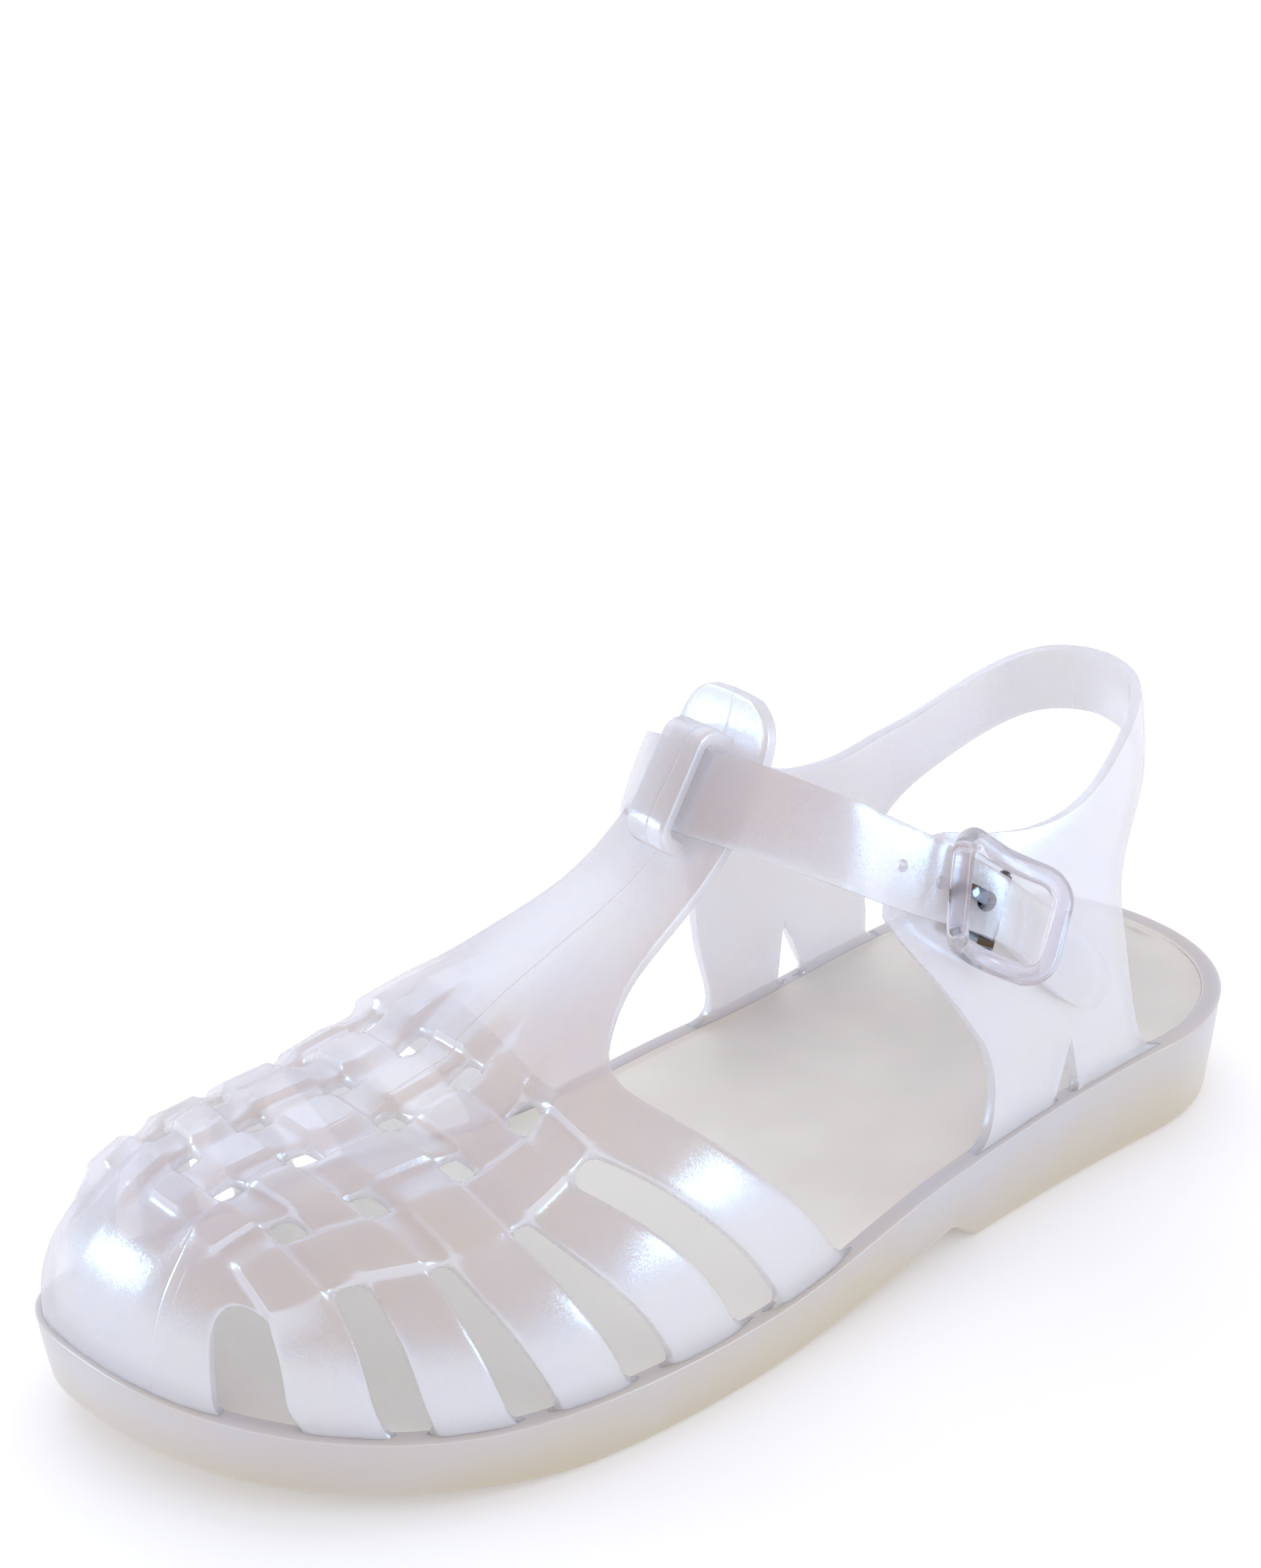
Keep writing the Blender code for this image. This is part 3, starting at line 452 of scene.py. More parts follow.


# The forefoot is the thinnest part of the sole. The footbed is painted paler there than at the heel: painted
# light, for the light that reaches it through the translucent upper
FOOTBED_PVC = CreamPvc(name="cream_pvc_matt_footbed", body="#DBD6CF", low_painted_shading="#FAF5EC", roughness=0.55,
                       metallic=0.0, grain_mm=0.7, grain_depth_mm=0.03, coat=0.0, shading_mm=(11.0, 16.0))


@dataclass(frozen=True)
class ClearPlastic:
    """Clear injection-moulded plastic with a faint violet tint: bright edges and a lens-like bar."""

    name: str = "clear_plastic_moulded"
    body: str = "#F4F2FC"
    ior: float = 1.49
    roughness: float = 0.04
    # Share of the light that goes straight through, so that the steel behind the bar still shows
    clear: float = 0.25
    wave_mm: float = 5.0
    wave_depth_mm: float = 0.05
    wave_strength: float = 0.5

    def material(self) -> bpy.types.Material:
        """Builds the material.

        Returns:
            The material.
        """
        material, tree, shader = new_material(self.name)
        place = add_node(tree, "ShaderNodeTexCoord").outputs["Object"]
        wave = add_node(tree, "ShaderNodeTexNoise", {"Vector": place, "Scale": 1 / (self.wave_mm * MM)})
        bump = add_node(tree, "ShaderNodeBump",
                        {"Height": wave.outputs["Fac"], "Distance": self.wave_depth_mm * MM,
                         "Strength": self.wave_strength})
        plug(tree, shader, {
            "Base Color": linear(self.body), "Normal": bump.outputs["Normal"], "IOR": self.ior,
            "Roughness": self.roughness, "Transmission Weight": 1.0, "Alpha": 1 - self.clear})
        return material


@dataclass(frozen=True)
class NickelPlate:
    """Nickel-plated pressed steel: bright, with faint lengthwise rolling lines."""

    name: str = "nickel_plated_steel"
    # Painted shade: the colour is darker than bare nickel, as for metal in shade under the strap, and bluer
    # to offset the warm room that it mirrors
    body: str = "#868E9C"
    roughness: float = 0.14
    line_mm: float = 0.25
    line_stretch: Point = (1.0, 0.12, 1.0)
    line_depth_mm: float = 0.006
    line_strength: float = 0.6

    def material(self) -> bpy.types.Material:
        """Builds the material.

        Returns:
            The material.
        """
        material, tree, shader = new_material(self.name)
        place = add_node(tree, "ShaderNodeTexCoord").outputs["Object"]
        stretched = add_node(tree, "ShaderNodeMapping", {"Vector": place, "Scale": self.line_stretch})
        lines = add_node(tree, "ShaderNodeTexNoise",
                         {"Vector": stretched.outputs["Vector"], "Scale": 1 / (self.line_mm * MM)})
        bump = add_node(tree, "ShaderNodeBump",
                        {"Height": lines.outputs["Fac"], "Distance": self.line_depth_mm * MM,
                         "Strength": self.line_strength})
        plug(tree, shader, {
            "Base Color": linear(self.body), "Normal": bump.outputs["Normal"], "Metallic": 1.0,
            "Roughness": self.roughness})
        return material


@dataclass(frozen=True)
class StudioPaper:
    """Plain white paper sweep: matt, and lit from behind so that it stays white round the shoe."""

    name: str = "studio_paper"
    body: str = "#F7F6F7"
    roughness: float = 0.9
    specular: float = 0.1
    glow: float = 0.22

    def material(self) -> bpy.types.Material:
        """Builds the material.

        Returns:
            The material.
        """
        material, tree, shader = new_material(self.name)
        plug(tree, shader, {
            "Base Color": linear(self.body), "Roughness": self.roughness,
            "Specular IOR Level": self.specular, "Emission Color": linear(self.body),
            "Emission Strength": self.glow})
        return material


# Last and sole


@dataclass
class Last:
    """Outline and heights of the sole that the whole shoe is laid out on."""

    ball_lateral: Pair = (38.2, -36.0)
    ball_medial: Pair = (-38.2, -50.0)
    toe_tip: Pair = (-12.5, -102.0)
    heel_side: Pair = (29.2, 72.0)
    heel_back: Pair = (0.0, 102.0)
    toe_power_lateral: float = 2.3
    toe_power_medial: float = 3.0
    heel_power: float = 2.15
    waist_ease: float = 0.85
    # y, x of the inner side of the waist
    waist_medial: Table = ((-50.0, -38.2), (-43.0, -37.7), (-20.0, -32.6), (10.0, -28.4), (32.0, -27.4),
                           (62.0, -29.0), (72.0, -29.2))
    # y, height of the sole's top edge
    top_edge: Table = ((-102.0, 16.3), (-60.0, 11.2), (-20.0, 11.0), (20.0, 15.0), (60.0, 16.6),
                       (102.0, 17.2))
    # y, height of the underside of the forefoot and the arch
    underside: Table = ((-102.0, 5.4), (-70.0, 1.7), (-50.0, 0.0), (-22.0, 0.0), (10.0, 2.0), (25.0, 4.2))
    # y between which the heel steps down to the floor
    breast: Pair = (22.5, 30.5)
    # length of the heel's rounded back end, and its rise as a share of that
    heel_round: float = 5.0
    heel_rise: float = 0.55
    wall: float = 2.0
    rim_inset: float = 0.5
    side_steps: int = 60
    # points on either side that a normal is taken over
    normal_span: int = 3
    edge: Array = field(init=False)
    normal: Array = field(init=False)
    feather: Array = field(init=False)
    tip: int = field(init=False)

    def __post_init__(self) -> None:
        """Works out the outline, its normals and the line that the upper's inner face stands on."""
        self.edge = self.outline()
        t = np.roll(self.edge, -self.normal_span, 0) - np.roll(self.edge, self.normal_span, 0)
        n = np.stack([-t[:, 1], t[:, 0]], 1)
        n /= np.linalg.norm(n, axis=1)[:, None]
        self.normal = n if np.sum(n * self.edge) > 0 else -n
        self.feather = self.edge - self.normal * (self.rim_inset + self.wall)
        self.tip = int(np.argmin(self.edge[:, 1]))

    @staticmethod
    def quarter(side: Pair, end: Pair, power: float, count: int = 48) -> Array:
        """Quarter of a superellipse.

        Args:
            side: Point where it starts, at its full width.
            end: Point where it ends, at its full length.
            power: Power of the superellipse.
            count: Number of points.

        Returns:
            Its points from side to end.
        """
        t = np.linspace(0, math.pi / 2, count)
        x = end[0] + (side[0] - end[0]) * np.abs(np.cos(t)) ** (2 / power)
        y = side[1] + (end[1] - side[1]) * np.abs(np.sin(t)) ** (2 / power)
        return np.stack([x, y], 1)

    def outline(self, count: int = 720) -> Array:
        """The sole's edge from the back of the heel along the outer side, round the toe and back.

        Args:
            count: Number of even steps.

        Returns:
            Points of the edge.
        """
        y = np.linspace(self.heel_side[1], self.ball_lateral[1], self.side_steps)
        s = (y - self.ball_lateral[1]) / (self.heel_side[1] - self.ball_lateral[1])
        swell = 0.5 * (1 + np.cos(np.pi * s ** self.waist_ease))
        lateral = np.stack([self.heel_side[0] + (self.ball_lateral[0] - self.heel_side[0]) * swell, y], 1)
        y = np.linspace(self.ball_medial[1], self.heel_side[1], self.side_steps)
        medial = np.stack([smooth(self.waist_medial, y), y], 1)
        heel_medial = (-self.heel_side[0], self.heel_side[1])
        runs = [self.quarter(self.heel_side, self.heel_back, self.heel_power)[::-1], lateral[1:],
                self.quarter(self.ball_lateral, self.toe_tip, self.toe_power_lateral)[1:],
                self.quarter(self.ball_medial, self.toe_tip, self.toe_power_medial)[::-1][1:], medial[1:],
                self.quarter(heel_medial, self.heel_back, self.heel_power)[1:]]
        p = np.vstack(runs)
        s = run_lengths(p)
        even = np.linspace(0, s[-1], count + 1)[:-1]
        return np.stack([np.interp(even, s, p[:, 0]), np.interp(even, s, p[:, 1])], 1)

    def side_x(self, y: Any, side: Side) -> Any:
        """x of the upper's foot line at y on one side."""
        half = self.feather[:self.tip + 1][::-1] if side is Side.LATERAL else self.feather[self.tip:]
        return np.interp(y, half[:, 1], half[:, 0])

    def position_at_y(self, y: float, side: Side) -> float:
        """Place along the outline at y.

        Args:
            y: Place along the shoe.
            side: Side of the shoe.

        Returns:
            Index of the outline as a real number.
        """
        if side is Side.LATERAL:
            return float(np.interp(y, self.edge[:self.tip + 1, 1][::-1], np.arange(self.tip + 1)[::-1]))
        return float(np.interp(y, self.edge[self.tip:, 1], np.arange(self.tip, len(self.edge))))

    @staticmethod
    def at(curve: Array, position: float) -> Array:
        """Point of a closed curve.

        Args:
            curve: Points of the curve.
            position: Index as a real number.

        Returns:
            The point, on the straight line between two of the curve's points.
        """
        k = int(math.floor(position)) % len(curve)
        f = position - math.floor(position)
        return curve[k] * (1 - f) + curve[(k + 1) % len(curve)] * f

    def top_z(self, y: float) -> float:
        """Height of the sole's top at y."""
        return float(smooth(self.top_edge, y))

    def low_z(self, y: float) -> float:
        """Height of the sole's underside, with the heel's breast.

        Args:
            y: Place along the shoe.

        Returns:
            Height over the floor.
        """
        back = max(0.0, (y - (self.heel_back[1] - self.heel_round)) / self.heel_round)
        heel = self.heel_round * self.heel_rise * (1 - math.sqrt(max(0.0, 1 - min(1.0, back) ** 2)))
        step = min(1.0, max(0.0, (y - self.breast[0]) / (self.breast[1] - self.breast[0])))
        step = step * step * (3 - 2 * step)
        return float(smooth(self.underside, y)) * (1 - step) + heel * step


@dataclass
class Sole:
    """The moulded sole with its footbed, edge flash and heel."""

    last: Last
    draft: float = 1.5
    draft_power: float = 1.2
    bottom_round: float = 1.3
    round_steps: int = 5
    # shares of the way up the side, and how far below the top edge the side ends
    side_shares: tuple[float, ...] = (0.2, 0.4, 0.6, 0.8)
    side_end: float = 0.9
    # inset from the outline and height over the top edge: flash of the mould, rounded edge, lip, footbed
    edge_rows: Table = ((0.02, -0.95), (0.04, -0.72), (-0.14, -0.52), (-0.14, -0.34), (0.10, -0.12),
                        (0.45, 0.0), (1.2, 0.04), (2.4, 0.0), (2.7, -0.14), (3.05, -0.48), (3.6, -0.6))
    # bands between the last of those rows that have the footbed's finish, and the footbed's own hollow
    bed_bands: int = 2
    bed_hollow: float = 0.6
    stations: int = 150
    columns: int = 10
    # stations close together along the heel's breast, and how far past it they reach
    breast_stations: int = 15
    breast_margin: float = 1.0
    sharp_degrees: float = 50.0

    def profile(self) -> list[Point]:
        """Side profile from the floor up.

        Returns:
            Rows of inset from the outline, share of the way from underside to top, and extra height.
        """
        rows = []
        for k in range(self.round_steps + 1):
            a = math.pi / 2 * k / self.round_steps
            rows.append((self.draft + self.bottom_round * (1 - math.sin(a)), 0.0,
                         self.bottom_round * (1 - math.cos(a))))
        for f in self.side_shares:
            rows.append((self.draft * (1 - f) ** self.draft_power, f,
                         self.bottom_round * (1 - f) - self.side_end * f))
        return rows + [(inset, 1.0, height) for inset, height in self.edge_rows]

    def ring_places(self) -> list[float]:
        """Places of the sole's stations along the outline.

        Returns:
            Indices of the outline: back of the heel, outer side, toe tip, inner side.
        """
        heel = self.last.heel_back[1]
        toe = self.last.toe_tip[1]
        turn = np.linspace(0, math.pi, self.stations + 2)[1:-1]
        ys = 0.5 * (heel + toe) + 0.5 * (heel - toe) * np.cos(turn)
        low = self.last.breast[0] - self.breast_margin
        high = self.last.breast[1] + self.breast_margin
        ys = np.concatenate([ys[(ys < low) | (ys > high)], np.linspace(low, high, self.breast_stations)])
        ys = np.sort(ys)[::-1]
        outer = [self.last.position_at_y(y, Side.LATERAL) for y in ys]
        inner = [self.last.position_at_y(y, Side.MEDIAL) for y in ys[::-1]]
        return [0.0] + outer + [float(self.last.tip)] + inner

    def mesh(self) -> bpy.types.Mesh:
        """Builds the sole: rings up its side, a ladder of faces below and the footbed on top.

        Returns:
            The mesh.
        """
        places = self.ring_places()
        edge = np.array([Last.at(self.last.edge, p) for p in places])
        normal = np.array([unit(Last.at(self.last.normal, p)) for p in places])
        low = np.array([self.last.low_z(y) for y in edge[:, 1]])
        top = np.array([self.last.top_z(y) for y in edge[:, 1]])
        bm = bmesh.new()
        rings = []
        for inset, share, extra in self.profile():
            xy = edge - normal * inset
            z = low + (top - low) * share + extra
            rings.append([bm.verts.new((x * MM, y * MM, h * MM)) for (x, y), h in zip(xy, z)])
        for band, (first, second) in enumerate(zip(rings, rings[1:])):
            join_rings(bm, first, second, int(band >= len(rings) - 1 - self.bed_bands))
        self.ladder(bm, rings[0], 0)
        bed = len(bm.faces)
        self.ladder(bm, rings[-1], 1)
        bm.faces.ensure_lookup_table()
        bmesh.ops.recalc_face_normals(bm, faces=bm.faces)
        for face in bm.faces[bed:]:
            face.material_index = 1
        mesh = mesh_of(bm, "sole_moulding")
        shade_smooth(mesh, self.sharp_degrees)
        return mesh

    def ladder(self, bm: bmesh.types.BMesh, ring: Ring, bed: int) -> None:
        """Fills a ring with rungs from the outer to the inner side.

        Args:
            bm: Mesh that takes the faces.
            ring: Ring that starts at the back of the heel.
            bed: 1 for the footbed, whose middle is a little hollow, 0 for the underside.
        """
        count = (len(ring) - 2) // 2
        rungs = []
        for k in range(1, count + 1):
            a = ring[k]
            b = ring[len(ring) - k]
            rung = [a]
            for c in range(1, self.columns):
                f = c / self.columns
                p = a.co.lerp(b.co, f)
                p.z -= bed * self.bed_hollow * MM * math.sin(math.pi * f) ** 2
                rung.append(bm.verts.new(p))
            rungs.append(rung + [b])
        for c in range(self.columns):
            bm.faces.new((ring[0], rungs[0][c], rungs[0][c + 1]))
            bm.faces.new((ring[count + 1], rungs[-1][c + 1], rungs[-1][c]))
            for first, second in zip(rungs, rungs[1:]):
                bm.faces.new((first[c], second[c], second[c + 1], first[c + 1]))

    def build(self, side: bpy.types.Material, footbed: bpy.types.Material) -> bpy.types.Object:
        """Makes the sole piece.

        Args:
            side: Finish of its walls and underside.
            footbed: Finish of the footbed.

        Returns:
            The piece.
        """
        return new_piece("sole_moulding", self.mesh(), [side, footbed])


# Upper


@dataclass
class Cage:
    """Quads of an open surface, with a wall thickness at each point."""

    points: list[Array] = field(default_factory=list)
    walls: list[float] = field(default_factory=list)
    faces: list[list[int]] = field(default_factory=list)
    sharp_points: dict[int, float] = field(default_factory=dict)
    sharp_edges: dict[tuple[int, int], float] = field(default_factory=dict)

    def add(self, point: Sequence[float], wall: float) -> int:
        """Adds a point.

        Args:
            point: Its place in millimetres.
            wall: Wall thickness there.

        Returns:
            Its index.
        """
        self.points.append(np.asarray(point, float))
        self.walls.append(wall)
        return len(self.points) - 1

    def strip(self, first: Sequence[int], second: Sequence[int]) -> None:
        """Joins two rows with quads, or with triangles where they share a point.

        Args:
            first: Indices of one row.
            second: Indices of the next row, as many.
        """
        for k in range(len(first) - 1):
            quad = [first[k], first[k + 1], second[k + 1], second[k]]
            self.faces.append([v for i, v in enumerate(quad) if v not in quad[:i]])

    def grid(self, rows: Sequence[Sequence[int]]) -> None:
        """Joins rows one after another."""
        for first, second in zip(rows, rows[1:]):
            self.strip(first, second)

    def sharpen(self, run: Sequence[int], crease: float) -> None:
        """Keeps the edges of a run of points crisp when the cage is smoothed."""
        for pair in zip(run, run[1:]):
            self.sharp_edges[min(pair), max(pair)] = crease

    def mesh(self, name: str) -> bpy.types.Mesh:
        """Mesh of the cage with its faces turned outwards and its creases set.

        Args:
            name: Name of the mesh.

        Returns:
            The mesh.
        """
        mesh = bpy.data.meshes.new(name)
        mesh.from_pydata([tuple(p * MM) for p in self.points], [], self.faces)
        bm = bmesh.new()
        bm.from_mesh(mesh)
        bmesh.ops.recalc_face_normals(bm, faces=bm.faces)
        bm.faces.ensure_lookup_table()
        if bm.faces[0].normal.z < 0:
            bmesh.ops.reverse_faces(bm, faces=bm.faces)
        bm.to_mesh(mesh)
        bm.free()
        corner = mesh.attributes.new("crease_vert", "FLOAT", "POINT")
        for index, crease in self.sharp_points.items():
            corner.data[index].value = crease
        ridge = mesh.attributes.new("crease_edge", "FLOAT", "EDGE")
        for edge in mesh.edges:
            pair = min(edge.vertices), max(edge.vertices)
            ridge.data[edge.index].value = self.sharp_edges.get(pair, 0.0)
        return mesh


@dataclass
class Walls:
    """Wall thicknesses of the upper, and the heights of its rim's foot and top over the sole's edge."""

    plain: float = 2.0
    raised: float = 3.1
    low: float = 1.5
    tab: float = 2.2
    strap_edge: float = 1.6
    wing_edge: float = 1.7
    tab_edge: float = 1.8
    rim_sink: float = -2.2
    rim_height: float = -0.3


Feet = list[tuple[float, int]]


@dataclass
class Vamp:
    """The front of the upper: woven panel, toe cap, side straps and T-strap."""

    last: Last
    walls: Walls
    # y, height of the crest above the sole edge, before the toe dome
    crest: Table = ((-102.0, 30.5), (-80.0, 30.8), (-65.0, 31.8), (-50.0, 34.0), (-35.0, 41.7), (-20.0, 44.1))
    dome_start: float = -68.0
    dome_power: float = 2.3
    section_power: Pair = (2.35, 2.27)
    # how far the crest lies to the inner side, y from which it moves there, and the length of that
    crest_shift: float = 3.0
    shift_start: float = -102.0
    shift_run: float = 40.0
    # y, centre line and half width of the woven panel
    panel: Table = ((-91.0, -6.0, 18.5), (-80.0, -4.2, 22.5), (-68.0, -3.0, 26.0), (-55.0, -2.0, 26.5),
                    (-44.0, -1.3, 25.0), (-35.0, -0.8, 20.5))
    # number of lengthwise strips, and their sizes as shares of the panel's half width
    strips: int = 5
    strip_pitch: float = 0.43
    strip_half: float = 0.14
    strip_shoulder: float = 0.022
    corner_crease: float = 0.9
    ridge_crease: float = 0.75
    foot_crease: float = 0.6
    # front edge then rear edge of each cross strap, as y at the crest, the panel edge and the sole
    cross_straps: Table = ((-90.0, -88.8, -89.1, -86.3, -81.7, -80.5),
                           (-83.0, -77.2, -74.5, -76.8, -70.0, -64.6),
                           (-72.0, -66.7, -57.1, -62.0, -57.4, -46.7),
                           (-58.0, -53.9, -38.0, -49.5, -46.4, -26.1),
                           (-45.0, -42.2, -16.5, -37.0, -35.0, -4.0))
    strap_lines: tuple[float, ...] = (0.0, 0.09, 0.91, 1.0)
    # how a strap's line bends over the panel, and down the side
    strap_ease: float = 1.7
    side_ease: float = 1.15
    side_rows: int = 6
    toe_rows: int = 6
    toe_corner_lateral: float = 11.0
    toe_corner_medial: float = -28.0
    toe_samples: int = 160
    toe_clearance: float = 0.4
    # how far the toe cap's edge swings in beside the first strap, where across the cap that starts, and
    # the powers that shape it across and down the cap
    toe_arch: float = 3.2
    toe_arch_start: float = 0.3
    toe_arch_across: float = 1.5
    toe_arch_down: float = 0.7
    # y, z of the outer centre line, half width, crown and sideways place of the T-strap
    t_strap: Table = ((-33.0, 54.0, 17.0, 3.4, -0.6), (-29.0, 55.3, 14.6, 2.0, -0.8),
                      (-24.5, 57.0, 12.6, 1.4, -1.0), (-18.0, 59.0, 11.0, 1.0, -1.2),
                      (-12.0, 61.6, 10.4, 0.9, -1.5), (-7.0, 64.6, 10.2, 0.8, -1.8),
                      (-3.0, 67.8, 10.0, 0.8, -2.0), (1.3, 72.2, 9.6, 0.8, -2.2),
                      (5.0, 77.0, 9.2, 0.8, -2.3), (6.7, 80.8, 8.7, 0.8, -2.3),
                      (7.3, 83.2, 7.4, 0.6, -2.3), (7.5, 84.6, 4.8, 0.4, -2.3))

    def crest_height(self, y: float) -> float:
        """Height of the vamp's inner crest above the sole's top.

        Args:
            y: Place along the shoe.

        Returns:
            The height.
        """
        reach = self.dome_start - float(np.min(self.last.feather[:, 1]))
        u = np.clip((self.dome_start - y) / reach, 0, 1)
        dome = (1 - u ** self.dome_power) ** (1 / self.dome_power)
        return float((smooth(self.crest, y) - self.walls.plain) * dome)

    def section(self, y: float, count: int = 181) -> tuple[Array, Array, Array]:
        """Inner section of the vamp at y, from the outer side over the crest to the inner side.

        Args:
            y: Place along the shoe.
            count: Number of points.

        Returns:
            Angles, x and z of the section.
        """
        left = float(self.last.side_x(y, Side.MEDIAL))
        right = float(self.last.side_x(y, Side.LATERAL))
        mid = 0.5 * (left + right)
        half = 0.5 * (right - left)
        th = np.linspace(0, math.pi, count)
        shift = self.crest_shift * float(np.clip((y - self.shift_start) / self.shift_run, 0, 1))
        c = np.cos(th)
        x = mid + half * np.sign(c) * np.abs(c) ** (2 / self.section_power[0]) - shift * np.sin(th) ** 2
        z = self.last.top_z(y) + self.crest_height(y) * np.abs(np.sin(th)) ** (2 / self.section_power[1])
        return th, x, z

    def at_x(self, x: float, y: float) -> Array:
        """Point of the vamp's inner face above x, y."""
        _, xs, zs = self.section(y)
        return np.array([x, y, float(np.interp(x, xs[::-1], zs[::-1]))])

    def at_angle(self, angle: float, y: float) -> Array:
        """Point of the vamp's inner face at a section angle."""
        th, xs, zs = self.section(y)
        return np.array([float(np.interp(angle, th, xs)), y, float(np.interp(angle, th, zs))])

    def angle_of_x(self, x: float, y: float) -> float:
        """Section angle of the vamp's inner face above x, y."""
        th, xs, _ = self.section(y)
        return float(np.interp(x, xs[::-1], th[::-1]))

    def angle_of_height(self, height: float, y: float, side: Side) -> float:
        """Section angle at which the vamp has risen by a height.

        Args:
            height: Height above the sole's top.
            y: Place along the shoe.
            side: Side of the shoe.

        Returns:
            The angle, from 0 at the outer side to half a turn at the inner side.
        """
        rise = (height / self.crest_height(y)) ** (self.section_power[1] / 2)
        angle = math.asin(min(1.0, rise))
        return angle if side is Side.LATERAL else math.pi - angle

    def rim_point(self, position: float, top: bool) -> Array:
        """Inner point of the rim.

        Args:
            position: Place along the outline.
            top: Whether it is at the rim's top or at its foot.

        Returns:
            The point.
        """
        p = Last.at(self.last.feather, position)
        z = self.last.top_z(p[1]) + (self.walls.rim_height if top else self.walls.rim_sink)
        return np.array([p[0], p[1], z])

    def strip_lines(self) -> list[float]:
        """Places across the panel of the four lines of each lengthwise strip.

        Returns:
            Places from the inner edge, near -1, to the outer edge, near 1.
        """
        inner = self.strip_half - self.strip_shoulder
        edges = (-self.strip_half, -inner, inner, self.strip_half)
        middle = self.strips // 2
        return [(strip - middle) * self.strip_pitch + edge for strip in range(self.strips) for edge in edges]

    def strap_y(self, strap: int, fraction: float, across: float) -> float:
        """y of a line of a cross strap on the woven panel.

        Args:
            strap: Number of the cross strap from the toe.
            fraction: Place between the strap's front and rear edge.
            across: Place across the panel.

        Returns:
            y of that place.
        """
        front_crest, front_side, _, rear_crest, rear_side, _ = self.cross_straps[strap]
        ease = abs(across) ** self.strap_ease
        front = front_crest + (front_side - front_crest) * ease
        rear = rear_crest + (rear_side - rear_crest) * ease
        return front + (rear - front) * fraction

    def woven_wall(self, strap: int, line: int, strip: int, place: int) -> float:
        """Wall where a cross strap meets a lengthwise strip: the one on top is raised.

        Args:
            strap: Number of the cross strap from the toe.
            line: Line of the cross strap.
            strip: Number of the lengthwise strip.
            place: Line of the lengthwise strip.

        Returns:
            The wall thickness.
        """
        if strap == len(self.cross_straps) - 1 and line >= LINES // 2:
            return self.walls.tab
        over = (strap + strip) % 2 == 0
        raised = line in SHOULDERS if over else place in SHOULDERS
        return self.walls.raised if raised else self.walls.low

    def panel_rows(self, cage: Cage) -> list[list[int]]:
        """Rows of the woven panel, four for each cross strap, open between the strips.

        Args:
            cage: Cage that takes the faces.

        Returns:
            Indices of the rows' points.
        """
        lines = self.strip_lines()
        rows = []
        for strap in range(len(self.cross_straps)):
            for line, fraction in enumerate(self.strap_lines):
                row = []
                for k, across in enumerate(lines):
                    y = self.strap_y(strap, fraction, across)
                    x = float(smooth(self.panel, y, 1)) + across * float(smooth(self.panel, y, 2))
                    row.append(cage.add(self.at_x(x, y), self.woven_wall(strap, line, *divmod(k, LINES))))
                rows.append(row)
        for k, (first, second) in enumerate(zip(rows, rows[1:])):
            for c in range(len(lines) - 1):
                pair = slice(c, c + 2)
                if k % LINES == LINES - 1 and c % LINES == LINES - 1:
                    cage.sharp_points.update(dict.fromkeys(first[pair] + second[pair], self.corner_crease))
                else:
                    cage.strip(first[pair], second[pair])
        self.sharpen_weave(cage, rows)
        return rows

    def sharpen_weave(self, cage: Cage, rows: list[list[int]]) -> None:
        """Creases the shoulders of whichever strip lies on top at each crossing, and the gaps' corners.

        Args:
            cage: Cage that holds the rows.
            rows: Rows of the woven panel.
        """
        straps = len(self.cross_straps)
        for strap in range(straps):
            for strip in range(self.strips):
                columns = slice(LINES * strip, LINES * (strip + 1))
                block = [row[columns] for row in rows[LINES * strap:LINES * (strap + 1)]]
                over = (strap + strip) % 2 == 0
                for k in SHOULDERS:
                    cage.sharpen(block[k] if over else [row[k] for row in block], self.ridge_crease)
        for c in (0, -1):
            for strap in range(1, straps):
                for row in rows[LINES * strap - 1:LINES * strap + 1]:
                    cage.sharp_points[row[c]] = self.corner_crease
            cage.sharp_points[rows[0][c]] = self.foot_crease

    def side_strap(self, cage: Cage, rows: list[list[int]], strap: int, side: Side) -> Feet:
        """One side of a cross strap, from the panel's edge to the top of the rim.

        Args:
            cage: Cage that takes the faces.
            rows: Rows of the woven panel.
            strap: Number of the cross strap from the toe.
            side: Side of the shoe.

        Returns:
            Places along the outline with the points that stand there.
        """
        _, _, front_base, _, _, rear_base = self.cross_straps[strap]
        column = -1 if side is Side.LATERAL else 0
        lines = [[row[column]] for row in rows[LINES * strap:LINES * (strap + 1)]]
        feet = []
        for k, fraction in enumerate(self.strap_lines):
            start = cage.points[lines[k][0]]
            y_base = front_base + (rear_base - front_base) * fraction
            start_angle = self.angle_of_x(start[0], start[1])
            wall = self.walls.plain if k in SHOULDERS else self.walls.strap_edge
            for r in range(1, self.side_rows):
                s = r / self.side_rows
                y = start[1] + (y_base - start[1]) * s ** self.side_ease
                foot = self.angle_of_height(0.0, y, side)
                lines[k].append(cage.add(self.at_angle(start_angle + (foot - start_angle) * s, y), wall))
            position = self.last.position_at_y(y_base, side)
            lines[k].append(cage.add(self.rim_point(position, True), wall))
            feet.append((position, lines[k][-1]))
        for line in (lines[0], lines[-1]):
            cage.sharp_points[line[-1]] = self.foot_crease
        cage.grid(lines)
        return feet

